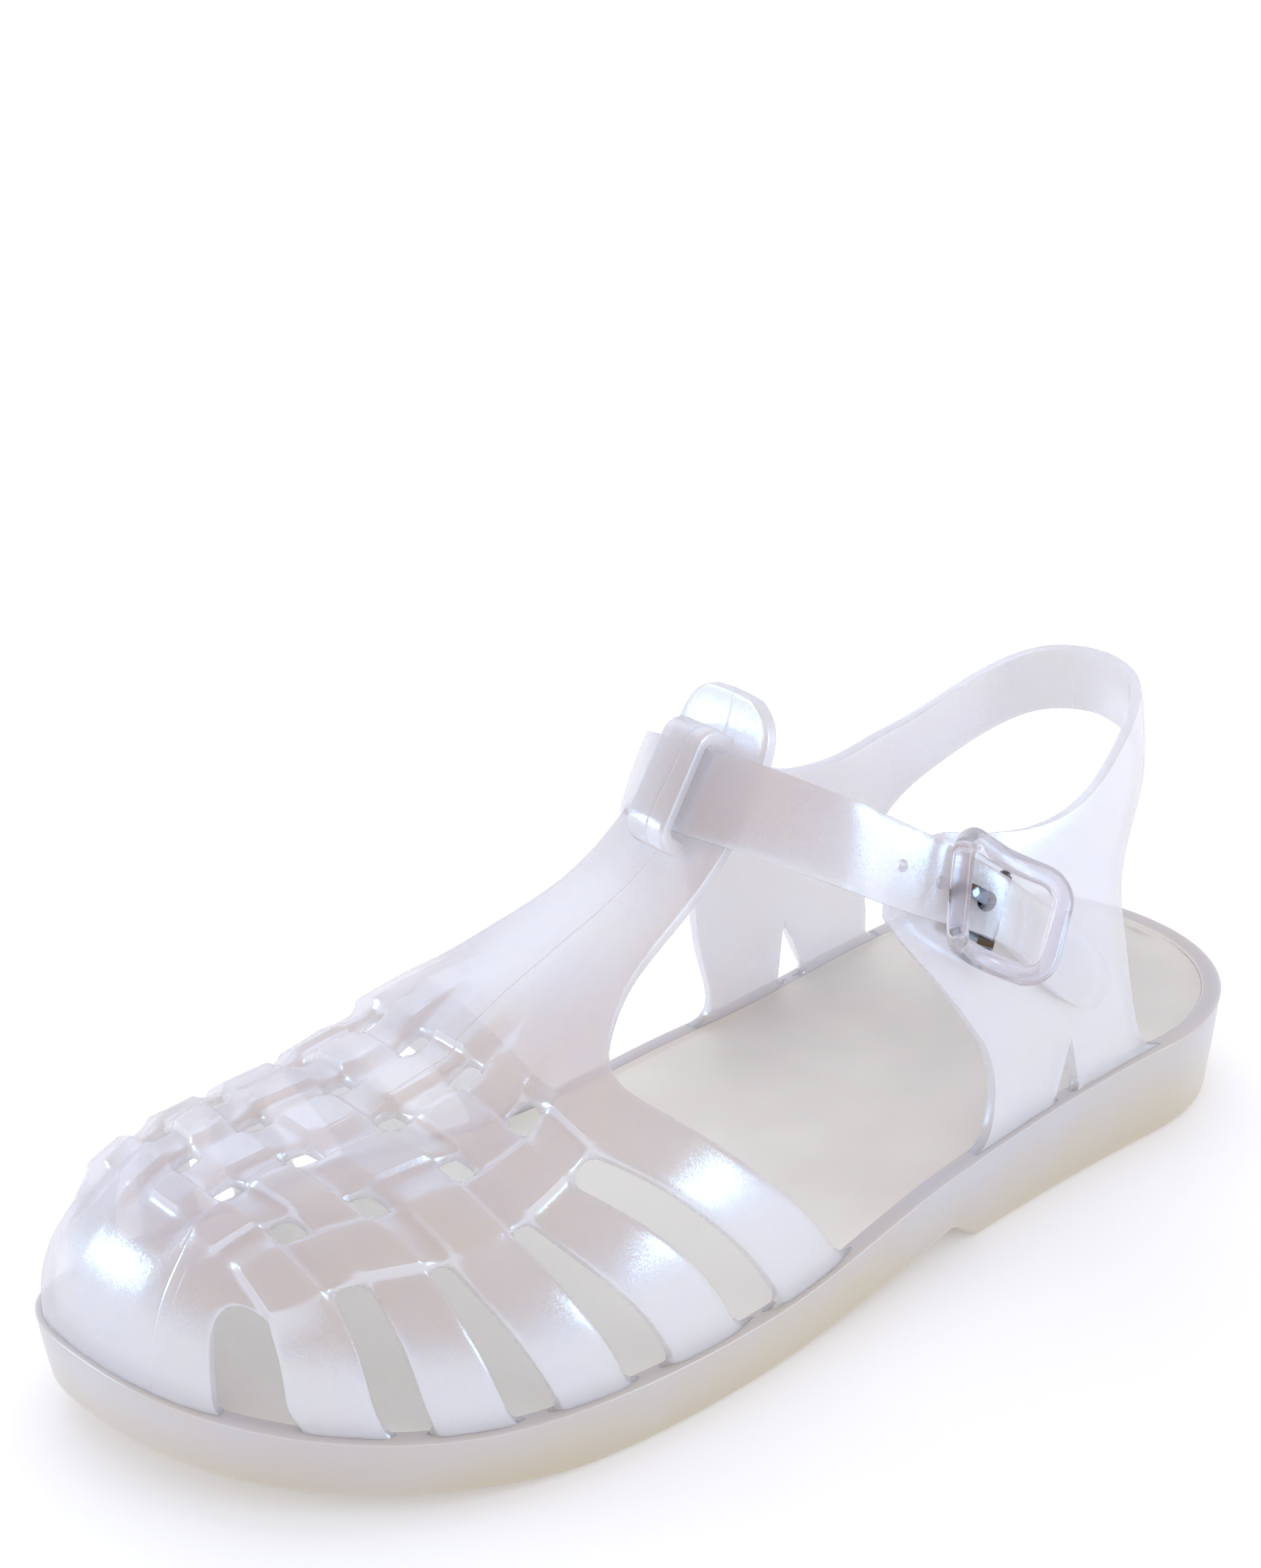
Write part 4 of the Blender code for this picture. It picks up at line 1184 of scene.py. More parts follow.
    def toe_cap(self, cage: Cage, first_row: list[int]) -> Feet:
        """The toe cap, from the front of the woven panel down to the rim.

        Args:
            cage: Cage that takes the faces.
            first_row: Front row of the woven panel.

        Returns:
            Places along the outline with the points that stand there.
        """
        tip = self.last.tip
        edge = self.last.edge
        spans = ((range(tip, len(edge) - tip // 2), self.toe_corner_medial),
                 (range(tip // 2, tip + 1), self.toe_corner_lateral))
        ends = [float(min(span, key=lambda k: abs(edge[k][0] - x))) for span, x in spans]
        lines = self.strip_lines()
        columns = []
        feet = []
        for k, across in enumerate(lines):
            position = ends[0] + (ends[1] - ends[0]) * (across + 1) / 2
            top = cage.points[first_row[k]]
            foot = self.rim_point(position, True)
            share = max(0.0, abs(across) - self.toe_arch_start) / (1 - self.toe_arch_start)
            arch = np.array([-math.copysign(self.toe_arch * share ** self.toe_arch_across, across), 0.0])
            run = []
            for v in np.linspace(0, 1, self.toe_samples)[:-1]:
                swing = arch * (4 * v * (1 - v)) ** self.toe_arch_down
                run.append(self.at_x(*(top[:2] + (foot[:2] - top[:2]) * v + swing)))
            run = np.array([top] + [p for p in run[1:] if p[2] > foot[2] + self.toe_clearance] + [foot])
            s = run_lengths(run)
            wall = self.walls.strap_edge if k in (0, len(lines) - 1) else self.walls.plain
            column = [first_row[k]]
            for r in range(1, self.toe_rows + 1):
                at = s[-1] * r / self.toe_rows
                column.append(cage.add([np.interp(at, s, run[:, c]) for c in range(3)], wall))
            columns.append(column)
            feet.append((position, column[-1]))
        cage.grid(columns)
        return feet

    def rise(self, cage: Cage, last_row: list[int]) -> None:
        """The T-strap, rising from the rear of the woven panel to its rounded tab.

        Args:
            cage: Cage that takes the faces.
            last_row: Rear row of the woven panel.
        """
        lines = self.strip_lines()
        centre = np.array([row[:2] for row in self.t_strap])
        slope = np.gradient(centre, axis=0)
        rows = [last_row]
        for k, (_, _, half, crown, centre_x) in enumerate(self.t_strap):
            t = unit(slope[k])
            base = centre[k] + np.array([t[1], -t[0]]) * self.walls.tab
            row = []
            for c, across in enumerate(lines):
                wall = self.walls.tab_edge if c in (0, len(lines) - 1) else self.walls.tab
                at = (centre_x + across * half, base[0], base[1] - crown * across * across)
                row.append(cage.add(at, wall))
            rows.append(row)
        cage.grid(rows)

    def add_to(self, cage: Cage) -> Feet:
        """Adds the whole vamp to a cage.

        Args:
            cage: Cage that takes the faces.

        Returns:
            Places along the outline with the points that stand there.
        """
        rows = self.panel_rows(cage)
        feet = self.toe_cap(cage, rows[0])
        for strap in range(len(self.cross_straps)):
            for side in Side:
                feet += self.side_strap(cage, rows, strap, side)
        self.rise(cage, rows[-1])
        return feet


@dataclass
class WingSizes:
    """Sizes of one wing: its wall, its band and its two legs."""

    lean: float
    turn_in: float
    front_turn: float
    # low edge y, z and top edge y, z of each column of the band, from its front end to the heel
    band: Table
    leg_first: int
    # y of the four lines of the front leg and of the rear leg at the sole
    feet: tuple[float, ...]
    # y, z of the top of the slit between the legs
    apex: Pair
    # y, z of the front and rear edges of the legs, between the sole and the band
    front: Table
    rear: Table


OUTER_WING = WingSizes(
    lean=0.105, turn_in=0.008, front_turn=0.010,
    band=((18.0, 53.0, 19.4, 57.0), (19.3, 50.0, 22.4, 59.6), (21.6, 46.4, 26.2, 62.2),
          (24.4, 42.3, 29.8, 62.8), (27.9, 36.5, 33.2, 61.6), (31.6, 30.6, 37.3, 60.4),
          (37.0, 32.0, 40.6, 59.6), (43.0, 33.6, 44.4, 59.0), (49.5, 35.6, 48.6, 58.8),
          (55.0, 38.0, 53.0, 59.3), (60.0, 40.4, 57.7, 61.1), (64.6, 43.0, 61.5, 62.9),
          (65.4, 47.2, 65.2, 64.9), (68.0, 51.2, 69.0, 66.7), (73.0, 54.9, 73.2, 68.3),
          (78.0, 57.4, 77.8, 69.3), (82.0, 58.8, 82.0, 69.8), (84.8, 59.5, 84.8, 70.0)),
    leg_first=5, feet=(29.5, 35.0, 40.5, 45.5, 51.7, 57.0, 62.3, 67.4), apex=(51.0, 24.6),
    front=((31.8, 19.5), (33.1, 23.5), (32.6, 27.5)), rear=((67.1, 19.5), (66.6, 26.0), (65.6, 34.5)))
INNER_WING = WingSizes(
    lean=0.13, turn_in=0.0045, front_turn=0.0,
    band=((11.9, 55.0, 22.9, 64.3), (14.8, 50.5, 26.8, 62.0), (17.0, 45.0, 30.9, 59.8),
          (18.5, 39.7, 34.6, 58.1), (19.6, 34.0, 38.4, 57.4), (26.5, 33.4, 41.6, 56.8),
          (32.9, 34.3, 45.0, 56.3), (39.5, 35.7, 48.4, 56.1), (46.5, 36.1, 52.0, 56.2),
          (53.1, 37.6, 55.9, 56.6), (59.0, 39.7, 59.8, 57.2), (62.1, 43.6, 63.4, 58.0),
          (66.1, 46.7, 67.2, 59.6), (71.3, 50.0, 71.3, 61.8), (76.3, 53.6, 75.6, 64.5),
          (80.7, 56.6, 80.2, 67.2), (84.0, 58.5, 83.8, 69.1)),
    leg_first=4, feet=(26.8, 31.5, 36.0, 40.5, 48.2, 52.5, 57.0, 61.1), apex=(39.0, 30.1),
    front=((25.0, 20.9), (22.6, 25.8), (20.9, 30.2)), rear=((59.9, 22.4), (58.1, 27.8), (57.8, 33.7)))


@dataclass
class HeelPiece:
    """The rear of the upper: two slotted wings and the sling behind the heel."""

    last: Last
    walls: Walls
    vamp: Vamp
    # y from which the wall turns round the heel, height that leans start at, and y that the foot starts at
    centre: float = 56.0
    base: float = 15.0
    foot_start: float = 30.0
    # height over which the wings turn in, and the length over which that fades towards the heel
    turn_start: float = 40.0
    turn_run: float = 16.0
    # y in front of which a wing's front end turns in, and the rise over which that grows
    front_start: float = 38.0
    front_run: float = 30.0
    depth: float = 34.0
    depth_lean: float = 0.08
    # how far the wall is tucked in over the rim, height from which, and the rise over which that grows
    tuck: float = 0.9
    tuck_start: float = 17.0
    tuck_run: float = 10.0
    sling_end: float = 86.4
    sling_back: Pair = (59.8, 70.1)
    band_lines: tuple[float, ...] = (0.0, 0.16, 0.84, 1.0)
    leg_columns: int = 7
    # column of the legs that the slit splits, row of their edge tables at its top, and its pull beside it
    slit: int = 3
    slit_top: int = 1
    slit_pull: float = 0.25
    wings: dict[Side, WingSizes] = field(
        default_factory=lambda: {Side.LATERAL: OUTER_WING, Side.MEDIAL: INNER_WING})

    def wall(self, q: float, z: float, side: Side) -> Array:
        """Point of the heel piece's inner face.

        Args:
            q: y along the side; past the centre it turns round the heel.
            z: Height over the floor.
            side: Side of the shoe.

        Returns:
            The point.
        """
        sizes = self.wings[side]
        up = z - self.base
        foot = abs(float(self.last.side_x(np.clip(q, self.foot_start, self.centre), side)))
        fade = float(np.clip((self.centre - q) / self.turn_run, 0, 1))
        rise = float(np.clip(up / self.front_run, 0, 1))
        half = foot - sizes.lean * up - fade * sizes.turn_in * max(0.0, z - self.turn_start) ** 2
        half -= sizes.front_turn * max(0.0, self.front_start - q) ** 2 * rise
        half -= self.tuck * float(np.clip((z - self.tuck_start) / self.tuck_run, 0, 1))
        if q <= self.centre:
            return np.array([side.value * half, q, z])
        t = min(1.0, (q - self.centre) / (self.sling_end - self.centre))
        reach = self.depth - self.depth_lean * up - self.walls.plain
        return np.array([side.value * half * math.sqrt(1 - t * t), self.centre + reach * t, z])

    def thickness(self, line: int) -> float:
        """Wall of a line of the band: thinner at its edges."""
        return self.walls.plain if line in SHOULDERS else self.walls.wing_edge

    def leg_row(self, cage: Cage, side: Side, level: int, split: bool) -> list[int]:
        """One row across the legs, with the slit's two edges apart where it is split.

        Args:
            cage: Cage that takes the points.
            side: Side of the shoe.
            level: Row of the legs' edge tables.
            split: Whether the slit crosses this row.

        Returns:
            Indices of the row's points.
        """
        sizes = self.wings[side]
        (y0, z0), (y1, z1) = sizes.front[level], sizes.rear[level]
        lows = [row[0] for row in sizes.band[sizes.leg_first:sizes.leg_first + self.leg_columns]]
        count = self.leg_columns + int(split)
        lips = (self.slit, self.slit + 1) if split else ()
        row = []
        for k in range(count):
            low = lows[k - 1 if split and k > self.slit else k]
            share = (low - lows[0]) / (lows[-1] - lows[0])
            y = y0 + (y1 - y0) * share
            z = z0 + (z1 - z0) * share
            if k in lips:
                y = 0.5 * (sizes.feet[k] + sizes.apex[0])
            elif split and k in (self.slit - 1, self.slit + 2):
                y = (1 - self.slit_pull) * y + self.slit_pull * sizes.feet[k]
            elif level == self.slit_top and k == self.slit:
                y, z = sizes.apex
            edge = k in (0, count - 1) or k in lips
            row.append(cage.add(self.wall(y, z, side), self.walls.wing_edge if edge else self.walls.plain))
        return row

    def wing(self, cage: Cage, side: Side, back: list[int]) -> tuple[list[int], Feet]:
        """One wing with its two legs.

        Args:
            cage: Cage that takes the faces.
            side: Side of the shoe.
            back: Column at the back of the heel.

        Returns:
            The front column of the band, and the feet on the rim.
        """
        sizes = self.wings[side]
        columns = []
        for y_low, z_low, y_top, z_top in sizes.band:
            column = []
            for k, f in enumerate(self.band_lines):
                at = self.wall(y_low + (y_top - y_low) * f, z_low + (z_top - z_low) * f, side)
                column.append(cage.add(at, self.thickness(k)))
            columns.append(column)
        columns.append(back)
        cage.grid(columns)
        junction = [columns[sizes.leg_first + k][0] for k in range(self.leg_columns)]
        places = [self.last.position_at_y(y, side) for y in sizes.feet]
        feet = [cage.add(self.vamp.rim_point(p, True), self.walls.plain) for p in places]
        low = self.leg_row(cage, side, 0, True)
        mid = self.leg_row(cage, side, 1, False)
        high = self.leg_row(cage, side, 2, False)
        cut = self.slit + 1
        cage.sharp_points[mid[self.slit]] = self.vamp.corner_crease
        cage.sharp_points.update(dict.fromkeys(feet[self.slit:cut + 1], self.vamp.foot_crease))
        cage.grid([row[:cut] for row in (feet, low, mid, high, junction)])
        cage.grid([feet[cut:], low[cut:], mid[self.slit:], high[self.slit:], junction[self.slit:]])
        return columns[0], list(zip(places, feet))

    def add_to(self, cage: Cage) -> tuple[list[int], Feet]:
        """Adds both wings and the sling to a cage.

        Args:
            cage: Cage that takes the faces.

        Returns:
            The front column of the inner wing, and the feet on the rim.
        """
        low, high = self.sling_back
        back = [cage.add(self.wall(self.sling_end, low + (high - low) * f, Side.LATERAL), self.thickness(k))
                for k, f in enumerate(self.band_lines)]
        _, feet = self.wing(cage, Side.LATERAL, back)
        front, more = self.wing(cage, Side.MEDIAL, back)
        return front, feet + more


@dataclass
class Station:
    """One station of the ankle strap's inner face."""

    base: Array
    out: Array
    across: Array
    along: Array
    width: float


@dataclass
class AnkleStrap:
    """The strap from the inner wing round the ankle to its free tip under the buckle."""

    heel: HeelPiece
    wall: float = 2.2
    edge_wall: float = 1.8
    # inward lean, the extra lean over the T-strap, and the x and spread of that
    lean: float = 0.4
    front_lean: float = 0.35
    front_lean_x: float = -1.0
    front_lean_run: float = 9.0
    # x, y, z of the outer centre line and width, from the inner wing round the front
    front: Table = ((-19.0, 3.6, 67.6, 12.6), (-14.4, -0.9, 70.6, 12.6), (-7.8, -2.9, 72.6, 12.6),
                    (-1.5, -3.0, 73.3, 12.6), (5.2, -2.1, 73.4, 12.6), (11.5, 0.6, 72.6, 12.6),
                    (16.3, 4.3, 70.7, 12.5), (19.7, 8.8, 68.2, 12.3), (21.4, 12.8, 66.0, 12.1),
                    (22.6, 18.8, 62.1, 11.8))
    # y, z of the centre line, width, lift off the outer wing and inward lean
    tail: Table = ((24.1, 58.7, 11.2, 1.8, 0.42), (29.0, 55.7, 9.6, 2.4, 0.40), (33.1, 53.0, 9.0, 3.5, 0.39),
                   (37.1, 50.0, 9.0, 2.3, 0.37), (41.4, 46.3, 9.4, 0.8, 0.32), (47.0, 40.4, 10.2, 0.6, 0.20),
                   (51.5, 36.0, 9.7, 0.5, 0.16), (54.6, 32.6, 8.0, 0.5, 0.15), (56.4, 30.6, 4.6, 0.5, 0.15))
    holes: Table = ((18.6, 62.2), (24.6, 58.3))
    hole_diameter: float = 1.9

    def stations(self) -> list[Station]:
        """Works out the stations along the strap.

        Returns:
            Stations from the inner wing to the tip.
        """
        centres = [np.array(row[:3]) for row in self.front]
        widths = [row[3] for row in self.front]
        spread = [(row[0] - self.front_lean_x) / self.front_lean_run for row in self.front]
        leans = [self.lean + self.front_lean * math.exp(-s ** 2) for s in spread]
        for y, z, width, lift, lean in self.tail:
            inner = self.heel.wall(y, z, Side.LATERAL)
            centres.append(np.array([inner[0] + self.heel.walls.plain + lift + self.wall, y, z]))
            widths.append(width)
            leans.append(lean)
        tangents = np.gradient(np.array(centres), axis=0)
        stations = []
        for centre, tangent, width, lean in zip(centres, tangents, widths, leans):
            t = unit(tangent)
            n = unit(np.array([t[1], -t[0], 0.0])) + np.array([0, 0, lean])
            n = unit(n - t * np.dot(n, t))
            w = np.cross(n, t)
            w = w if w[2] > 0 else -w
            stations.append(Station(centre - n * self.wall, n, w, t, width))
        return stations

    def add_to(self, cage: Cage, start: list[int]) -> None:
        """Adds the strap to a cage.

        Args:
            cage: Cage that takes the faces.
            start: Front column of the inner wing.
        """
        columns = [start]
        for station in self.stations():
            column = []
            for k, f in enumerate(self.heel.band_lines):
                wall = self.wall if k in SHOULDERS else self.edge_wall
                column.append(cage.add(station.base + station.across * station.width * (f - 0.5), wall))
            columns.append(column)
        cage.grid(columns)

    def place(self, y: float, z: float) -> tuple[Array, Array]:
        """Place on the strap for a hole.

        Args:
            y: Place along the shoe.
            z: Height over the floor.

        Returns:
            Middle of the strap nearest to y, z, and the outward direction there.
        """
        near = min(self.stations(), key=lambda s: np.linalg.norm(s.base[1:] - np.array([y, z])))
        shift = np.array([near.base[0], y, z]) - near.base
        return near.base + near.along * np.dot(shift, near.along) + near.out, near.out


@dataclass
class KeeperLoop:
    """The loop on the T-strap's tab that holds the ankle strap."""

    strap: AnkleStrap
    # station of the strap that it goes round
    station: int = 3
    x: float = -2.2
    half_width: float = 3.8
    wall: float = 2.4
    play: float = 0.8
    feet: Pair = (-1.6, -3.2)
    bend_steps: int = 8
    bend: float = 2.6
    edge_round: float = 0.7

    def mesh(self) -> bpy.types.Mesh:
        """Sweeps the loop's rounded band from its lower foot over the strap to its upper foot.

        Returns:
            The mesh.
        """
        station = self.strap.stations()[self.station]
        base = station.base + np.array([self.x - station.base[0], 0.0, 0.0])
        reach = station.width / 2 + self.play + self.wall / 2
        top = self.strap.wall + self.play + self.wall / 2
        path = [(-reach, self.feet[0]), (-reach, 0.5 * self.feet[0]), (-reach, top - self.bend)]
        for side, start in ((-1, math.pi), (1, math.pi / 2)):
            for k in range(1, self.bend_steps + 1):
                a = start - math.pi / 2 * k / self.bend_steps
                path.append((side * (reach - self.bend) + self.bend * math.cos(a),
                             top - self.bend + self.bend * math.sin(a)))
        path += [(reach, 0.5 * self.feet[1]), (reach, self.feet[1])]
        points = np.array(path)
        slope = np.gradient(points, axis=0)
        sections = []
        for (u, v), (du, dv) in zip(points, slope):
            normal = np.array([-dv, du]) / math.hypot(du, dv)
            section = []
            for a, b in rounded_section(self.half_width, self.wall / 2, self.edge_round):
                at = np.array([u, v]) + normal * b
                section.append(base + np.array([a, 0, 0]) + station.across * at[0] + station.out * at[1])
            sections.append(section)
        return loft("keeper_loop", sections)


@dataclass
class Upper:
    """The whole moulded upper in one piece."""

    last: Last
    walls: Walls
    vamp: Vamp
    heel: HeelPiece
    strap: AnkleStrap
    keeper: KeeperLoop
    rim_spacing: float = 16.0
    edge_crease: float = 0.7
    levels: int = 2

    def rim(self, cage: Cage, feet: Feet) -> None:
        """Adds the low wall round the footbed that carries every strap and wing.

        Args:
            cage: Cage that takes the faces.
            feet: Places along the outline with the points that stand there.
        """
        places = dict(feet)
        marks = sorted(places)
        loop = []
        for a, b in zip(marks, marks[1:] + [marks[0] + len(self.last.edge)]):
            loop.append((a, places[a]))
            extra = int((b - a) // self.rim_spacing)
            for k in range(1, extra + 1):
                p = a + (b - a) * k / (extra + 1)
                loop.append((p, cage.add(self.vamp.rim_point(p, True), self.walls.plain)))
        top = [index for _, index in loop]
        foot = [cage.add(self.vamp.rim_point(p, False), self.walls.plain) for p, _ in loop]
        cage.strip(top + top[:1], foot + foot[:1])

    def cage(self) -> Cage:
        """Lays out the inner face of the whole upper.

        Returns:
            Its cage.
        """
        cage = Cage()
        feet = self.vamp.add_to(cage)
        front, more = self.heel.add_to(cage)
        self.strap.add_to(cage, front)
        self.rim(cage, feet + more)
        return cage

    def build(self, material: bpy.types.Material, holes: Sequence[bpy.types.Object]) -> bpy.types.Object:
        """Makes the upper piece: a wall on the cage, smoothed, with its loop joined and its holes cut.

        Args:
            material: Its finish.
            holes: Cutters for the strap's holes, which are removed afterwards.

        Returns:
            The piece.
        """
        cage = self.cage()
        piece = new_piece("upper_moulding", cage.mesh("upper_moulding"), [material])
        group = piece.vertex_groups.new(name="wall")
        for k, wall in enumerate(cage.walls):
            group.add([k], wall / self.walls.raised, "REPLACE")
        shell = piece.modifiers.new("Wall", "SOLIDIFY")
        shell.thickness = self.walls.raised * MM
        shell.offset = 1.0
        shell.vertex_group = "wall"
        shell.use_rim = True
        shell.edge_crease_outer = self.edge_crease
        shell.edge_crease_inner = self.edge_crease
        smoother = piece.modifiers.new("Smooth", "SUBSURF")
        smoother.levels = self.levels
        smoother.render_levels = self.levels
        loop = new_piece("keeper_loop", self.keeper.mesh())
        helpers = [loop, *holes]
        for helper, operation in zip(helpers, ["UNION"] + ["DIFFERENCE"] * len(holes)):
            cut = piece.modifiers.new(helper.name, "BOOLEAN")
            cut.operation = operation
            cut.object = helper
            cut.solver = "EXACT"
        settle(piece)
        for helper in helpers:
            bpy.data.meshes.remove(helper.data)
        return piece


# Buckle


@dataclass
class Buckle:
    """The clear frame with its steel bar and prong."""

    heel: HeelPiece
    at: Pair = (32.2, 52.0)
    ahead: Point = (0.16, 0.79, -0.59)
    lean: float = 0.36
    half_length: float = 10.3
    half_width: float = 7.6
    bar_radius: float = 1.6
    corner_radius: float = 3.6
    corner_steps: int = 12
    # how far the front end leans along the strap from its upper to its lower corner, and its power
    front_skew: Pair = (-1.4, 2.4)
    skew_power: float = 1.5
    side_rise: float = 2.9
    front_rise: float = 5.2
    rear_rise: float = 6.4
    rise_power: float = 1.7
    pin_at: float = 2.2
    pin_radius: float = 0.8
    pin_half: float = 6.4
    pin_lift: float = 0.6
    pin_soft: float = 0.25
    pin_sides: int = 24
    pin_sharp_degrees: float = 35.0
    plate_round: float = 0.22
    plate_round_steps: int = 3
    prong_sharp_degrees: float = 40.0
    prong_steps: int = 28
    prong_tip: float = 0.82
    prong_half_width: float = 1.0
    prong_thickness: float = 0.8
    # place along the strap and height off the wing of the prong's middle line, from tip to root
    prong: Table = ((-8.2, 5.0), (-6.2, 5.4), (-4.6, 5.3), (-3.4, 4.3), (-2.5, 2.7), (-1.4, 1.5), (0.6, 1.3))
    # place along the strap and height off the wing of the plate that folds round the bar
    clip: Table = ((-4.2, 0.9), (-2.0, 0.8), (0.4, 0.8), (1.2, 1.5), (2.2, 2.5), (3.2, 1.6))
    clip_half_width: float = 5.6
    hole_at: float = -2.9
    hole_lift: float = 4.0
    hole_diameter: float = 3.0
    frame_steps: int = 120
    section_steps: int = 20

    def axes(self) -> tuple[Array, Array, Array, Array]:
        """Works out the buckle's own frame.

        Returns:
            Origin on the outer wing, and the axes along the strap, across it and outwards.
        """
        origin = self.heel.wall(*self.at, Side.LATERAL) + np.array([self.heel.walls.plain, 0, 0])
        ahead = unit(np.array(self.ahead))
        out = np.array([1.0, 0.0, self.lean])
        out = unit(out - ahead * np.dot(out, ahead))
        across = np.cross(out, ahead)
        return origin, ahead, across if across[2] > 0 else -across, out

    def frame_mesh(self) -> bpy.types.Mesh:
        """Sweeps the frame's round bar: low beside the strap, arched over it at both ends.

        Returns:
            The mesh.
        """
        origin, ahead, across, out = self.axes()
        loop = np.array(rounded_section(self.half_length, self.half_width, self.corner_radius,
                                        self.corner_steps))
        loop = np.vstack([loop, loop[:1]])
        s = run_lengths(loop)
        even = np.linspace(0, s[-1], self.frame_steps + 1)[:-1]
        points = []
        for u, v in zip(np.interp(even, s, loop[:, 0]), np.interp(even, s, loop[:, 1])):
            f = min(1.0, abs(u) / self.half_length)
            end = self.rear_rise if u > 0 else self.front_rise
            front = float(np.clip(-u / self.half_length, 0, 1)) ** self.skew_power
            skew = np.interp(v, (-self.half_width, self.half_width), self.front_skew[::-1])
            rise = self.side_rise + (end - self.side_rise) * f ** self.rise_power
            points.append(np.array([u + front * skew, v, rise]))
        sections = []
        for k, p in enumerate(points):
            t = unit(points[(k + 1) % len(points)] - points[k - 1])
            side = unit(np.cross(t, np.array([0, 0, 1.0])))
            up = np.cross(side, t)
            ring = []
            for m in range(self.section_steps):
                b = 2 * math.pi * m / self.section_steps
                q = p + self.bar_radius * (side * math.cos(b) + up * math.sin(b))
                ring.append(origin + ahead * q[0] + across * q[1] + out * q[2])
            sections.append(ring)
        mesh = loft("buckle_frame_moulding", sections, closed=True)
        mesh.shade_smooth()
        return mesh

    def pin_mesh(self) -> bpy.types.Mesh:
        """Lofts the round steel bar with softened ends.

        Returns:
            The mesh.
        """
        origin, ahead, across, out = self.axes()
        middle = origin + ahead * self.pin_at + out * (self.pin_radius + self.pin_lift)
        shoulder = self.pin_half - self.pin_soft
        tip = self.pin_radius - self.pin_soft
        stops = ((-self.pin_half, tip), (-shoulder, self.pin_radius), (shoulder, self.pin_radius),
                 (self.pin_half, tip))
        turn = np.linspace(0, 2 * math.pi, self.pin_sides + 1)[:-1]
        sections = [[middle + across * v + r * (ahead * math.cos(b) + out * math.sin(b)) for b in turn]
                    for v, r in stops]
        mesh = loft("buckle_bar_pin", sections)
        shade_smooth(mesh, self.pin_sharp_degrees)
        return mesh

    def clip_sections(self) -> list[list[Array]]:
        """Sections of the prong's root plate, which folds round the bar under the strap.

        Returns:
            Rings of points.
        """
        origin, ahead, across, out = self.axes()
        outline = rounded_section(self.clip_half_width, self.prong_thickness / 2, self.plate_round,
                                  self.plate_round_steps)
        return [[origin + ahead * u + out * (v + b) + across * a for a, b in outline] for u, v in self.clip]

    def prong_mesh(self) -> bpy.types.Mesh:
        """Lofts the flat prong, from the front bar through the ankle strap to the centre bar.

        Returns:
            The mesh, with its root plate.
        """
        origin, ahead, across, out = self.axes()
        rows = np.array(self.prong)
        s = run_lengths(rows)
        even = np.linspace(0, s[-1], self.prong_steps)
        path = np.stack([smooth(np.stack([s, rows[:, c]], 1), even) for c in (0, 1)], 1)
        turn = np.gradient(path, axis=0)
        sections = []
        for k, ((u, v), (du, dv)) in enumerate(zip(path, turn)):
            normal = np.array([-dv, du]) / math.hypot(du, dv)
            taper = self.prong_tip if k == 0 else 1.0
            section = []
            for a, b in rounded_section(self.prong_half_width * taper, self.prong_thickness / 2 * taper,
                                        self.plate_round, self.plate_round_steps):
                p = np.array([u, v]) + normal * b
                section.append(origin + ahead * p[0] + out * p[1] + across * a)
            sections.append(section)
        mesh = loft("buckle_prong_plate", sections)
        bm = bmesh.new()
        bm.from_mesh(mesh)
        bm.from_mesh(loft("prong_clip", self.clip_sections()))
        bm.to_mesh(mesh)
        bm.free()
        shade_smooth(mesh, self.prong_sharp_degrees)
        return mesh

    def hole_place(self) -> tuple[Array, Array]:
        """Middle and direction of the strap hole that the prong passes through."""
        origin, ahead, _, out = self.axes()
        return origin + ahead * self.hole_at + out * self.hole_lift, out

    def build(self, clear: bpy.types.Material, steel: bpy.types.Material) -> list[bpy.types.Object]:
        """Makes the buckle's three pieces.

        Args:
            clear: Finish of the frame.
            steel: Finish of the bar and the prong.

        Returns:
            Frame, bar and prong.
        """
        return [new_piece("buckle_frame_moulding", self.frame_mesh(), [clear]),
                new_piece("buckle_bar_pin", self.pin_mesh(), [steel]),
                new_piece("buckle_prong_plate", self.prong_mesh(), [steel])]


def hole_cutter(name: str, centre: Array, direction: Array, diameter: float) -> bpy.types.Object:
    """Cutter of a punched hole through the ankle strap.

    Args:
        name: Name of the cutter.
        centre: Middle of the hole in millimetres.
        direction: Direction through the strap.
        diameter: Hole diameter.

    Returns:
        The cutter, which the upper removes after use.
    """
    bm = bmesh.new()
    bmesh.ops.create_cone(bm, cap_ends=True, segments=CUTTER_SIDES, radius1=diameter / 2 * MM,
                          radius2=diameter / 2 * MM, depth=CUTTER_MM * MM)
    turn = Vector(direction).to_track_quat("Z", "Y").to_matrix().to_4x4()
    bmesh.ops.transform(bm, matrix=Matrix.Translation(Vector(centre * MM)) @ turn, verts=bm.verts)
    return new_piece(name, mesh_of(bm, name))


# Studio


@dataclass(frozen=True)
class SoftBox:
    """One studio light: where it stands, its size, its strength in watts and its colour."""

    name: str
    place_m: Point
    size_m: Pair
    watts: float
    colour: str


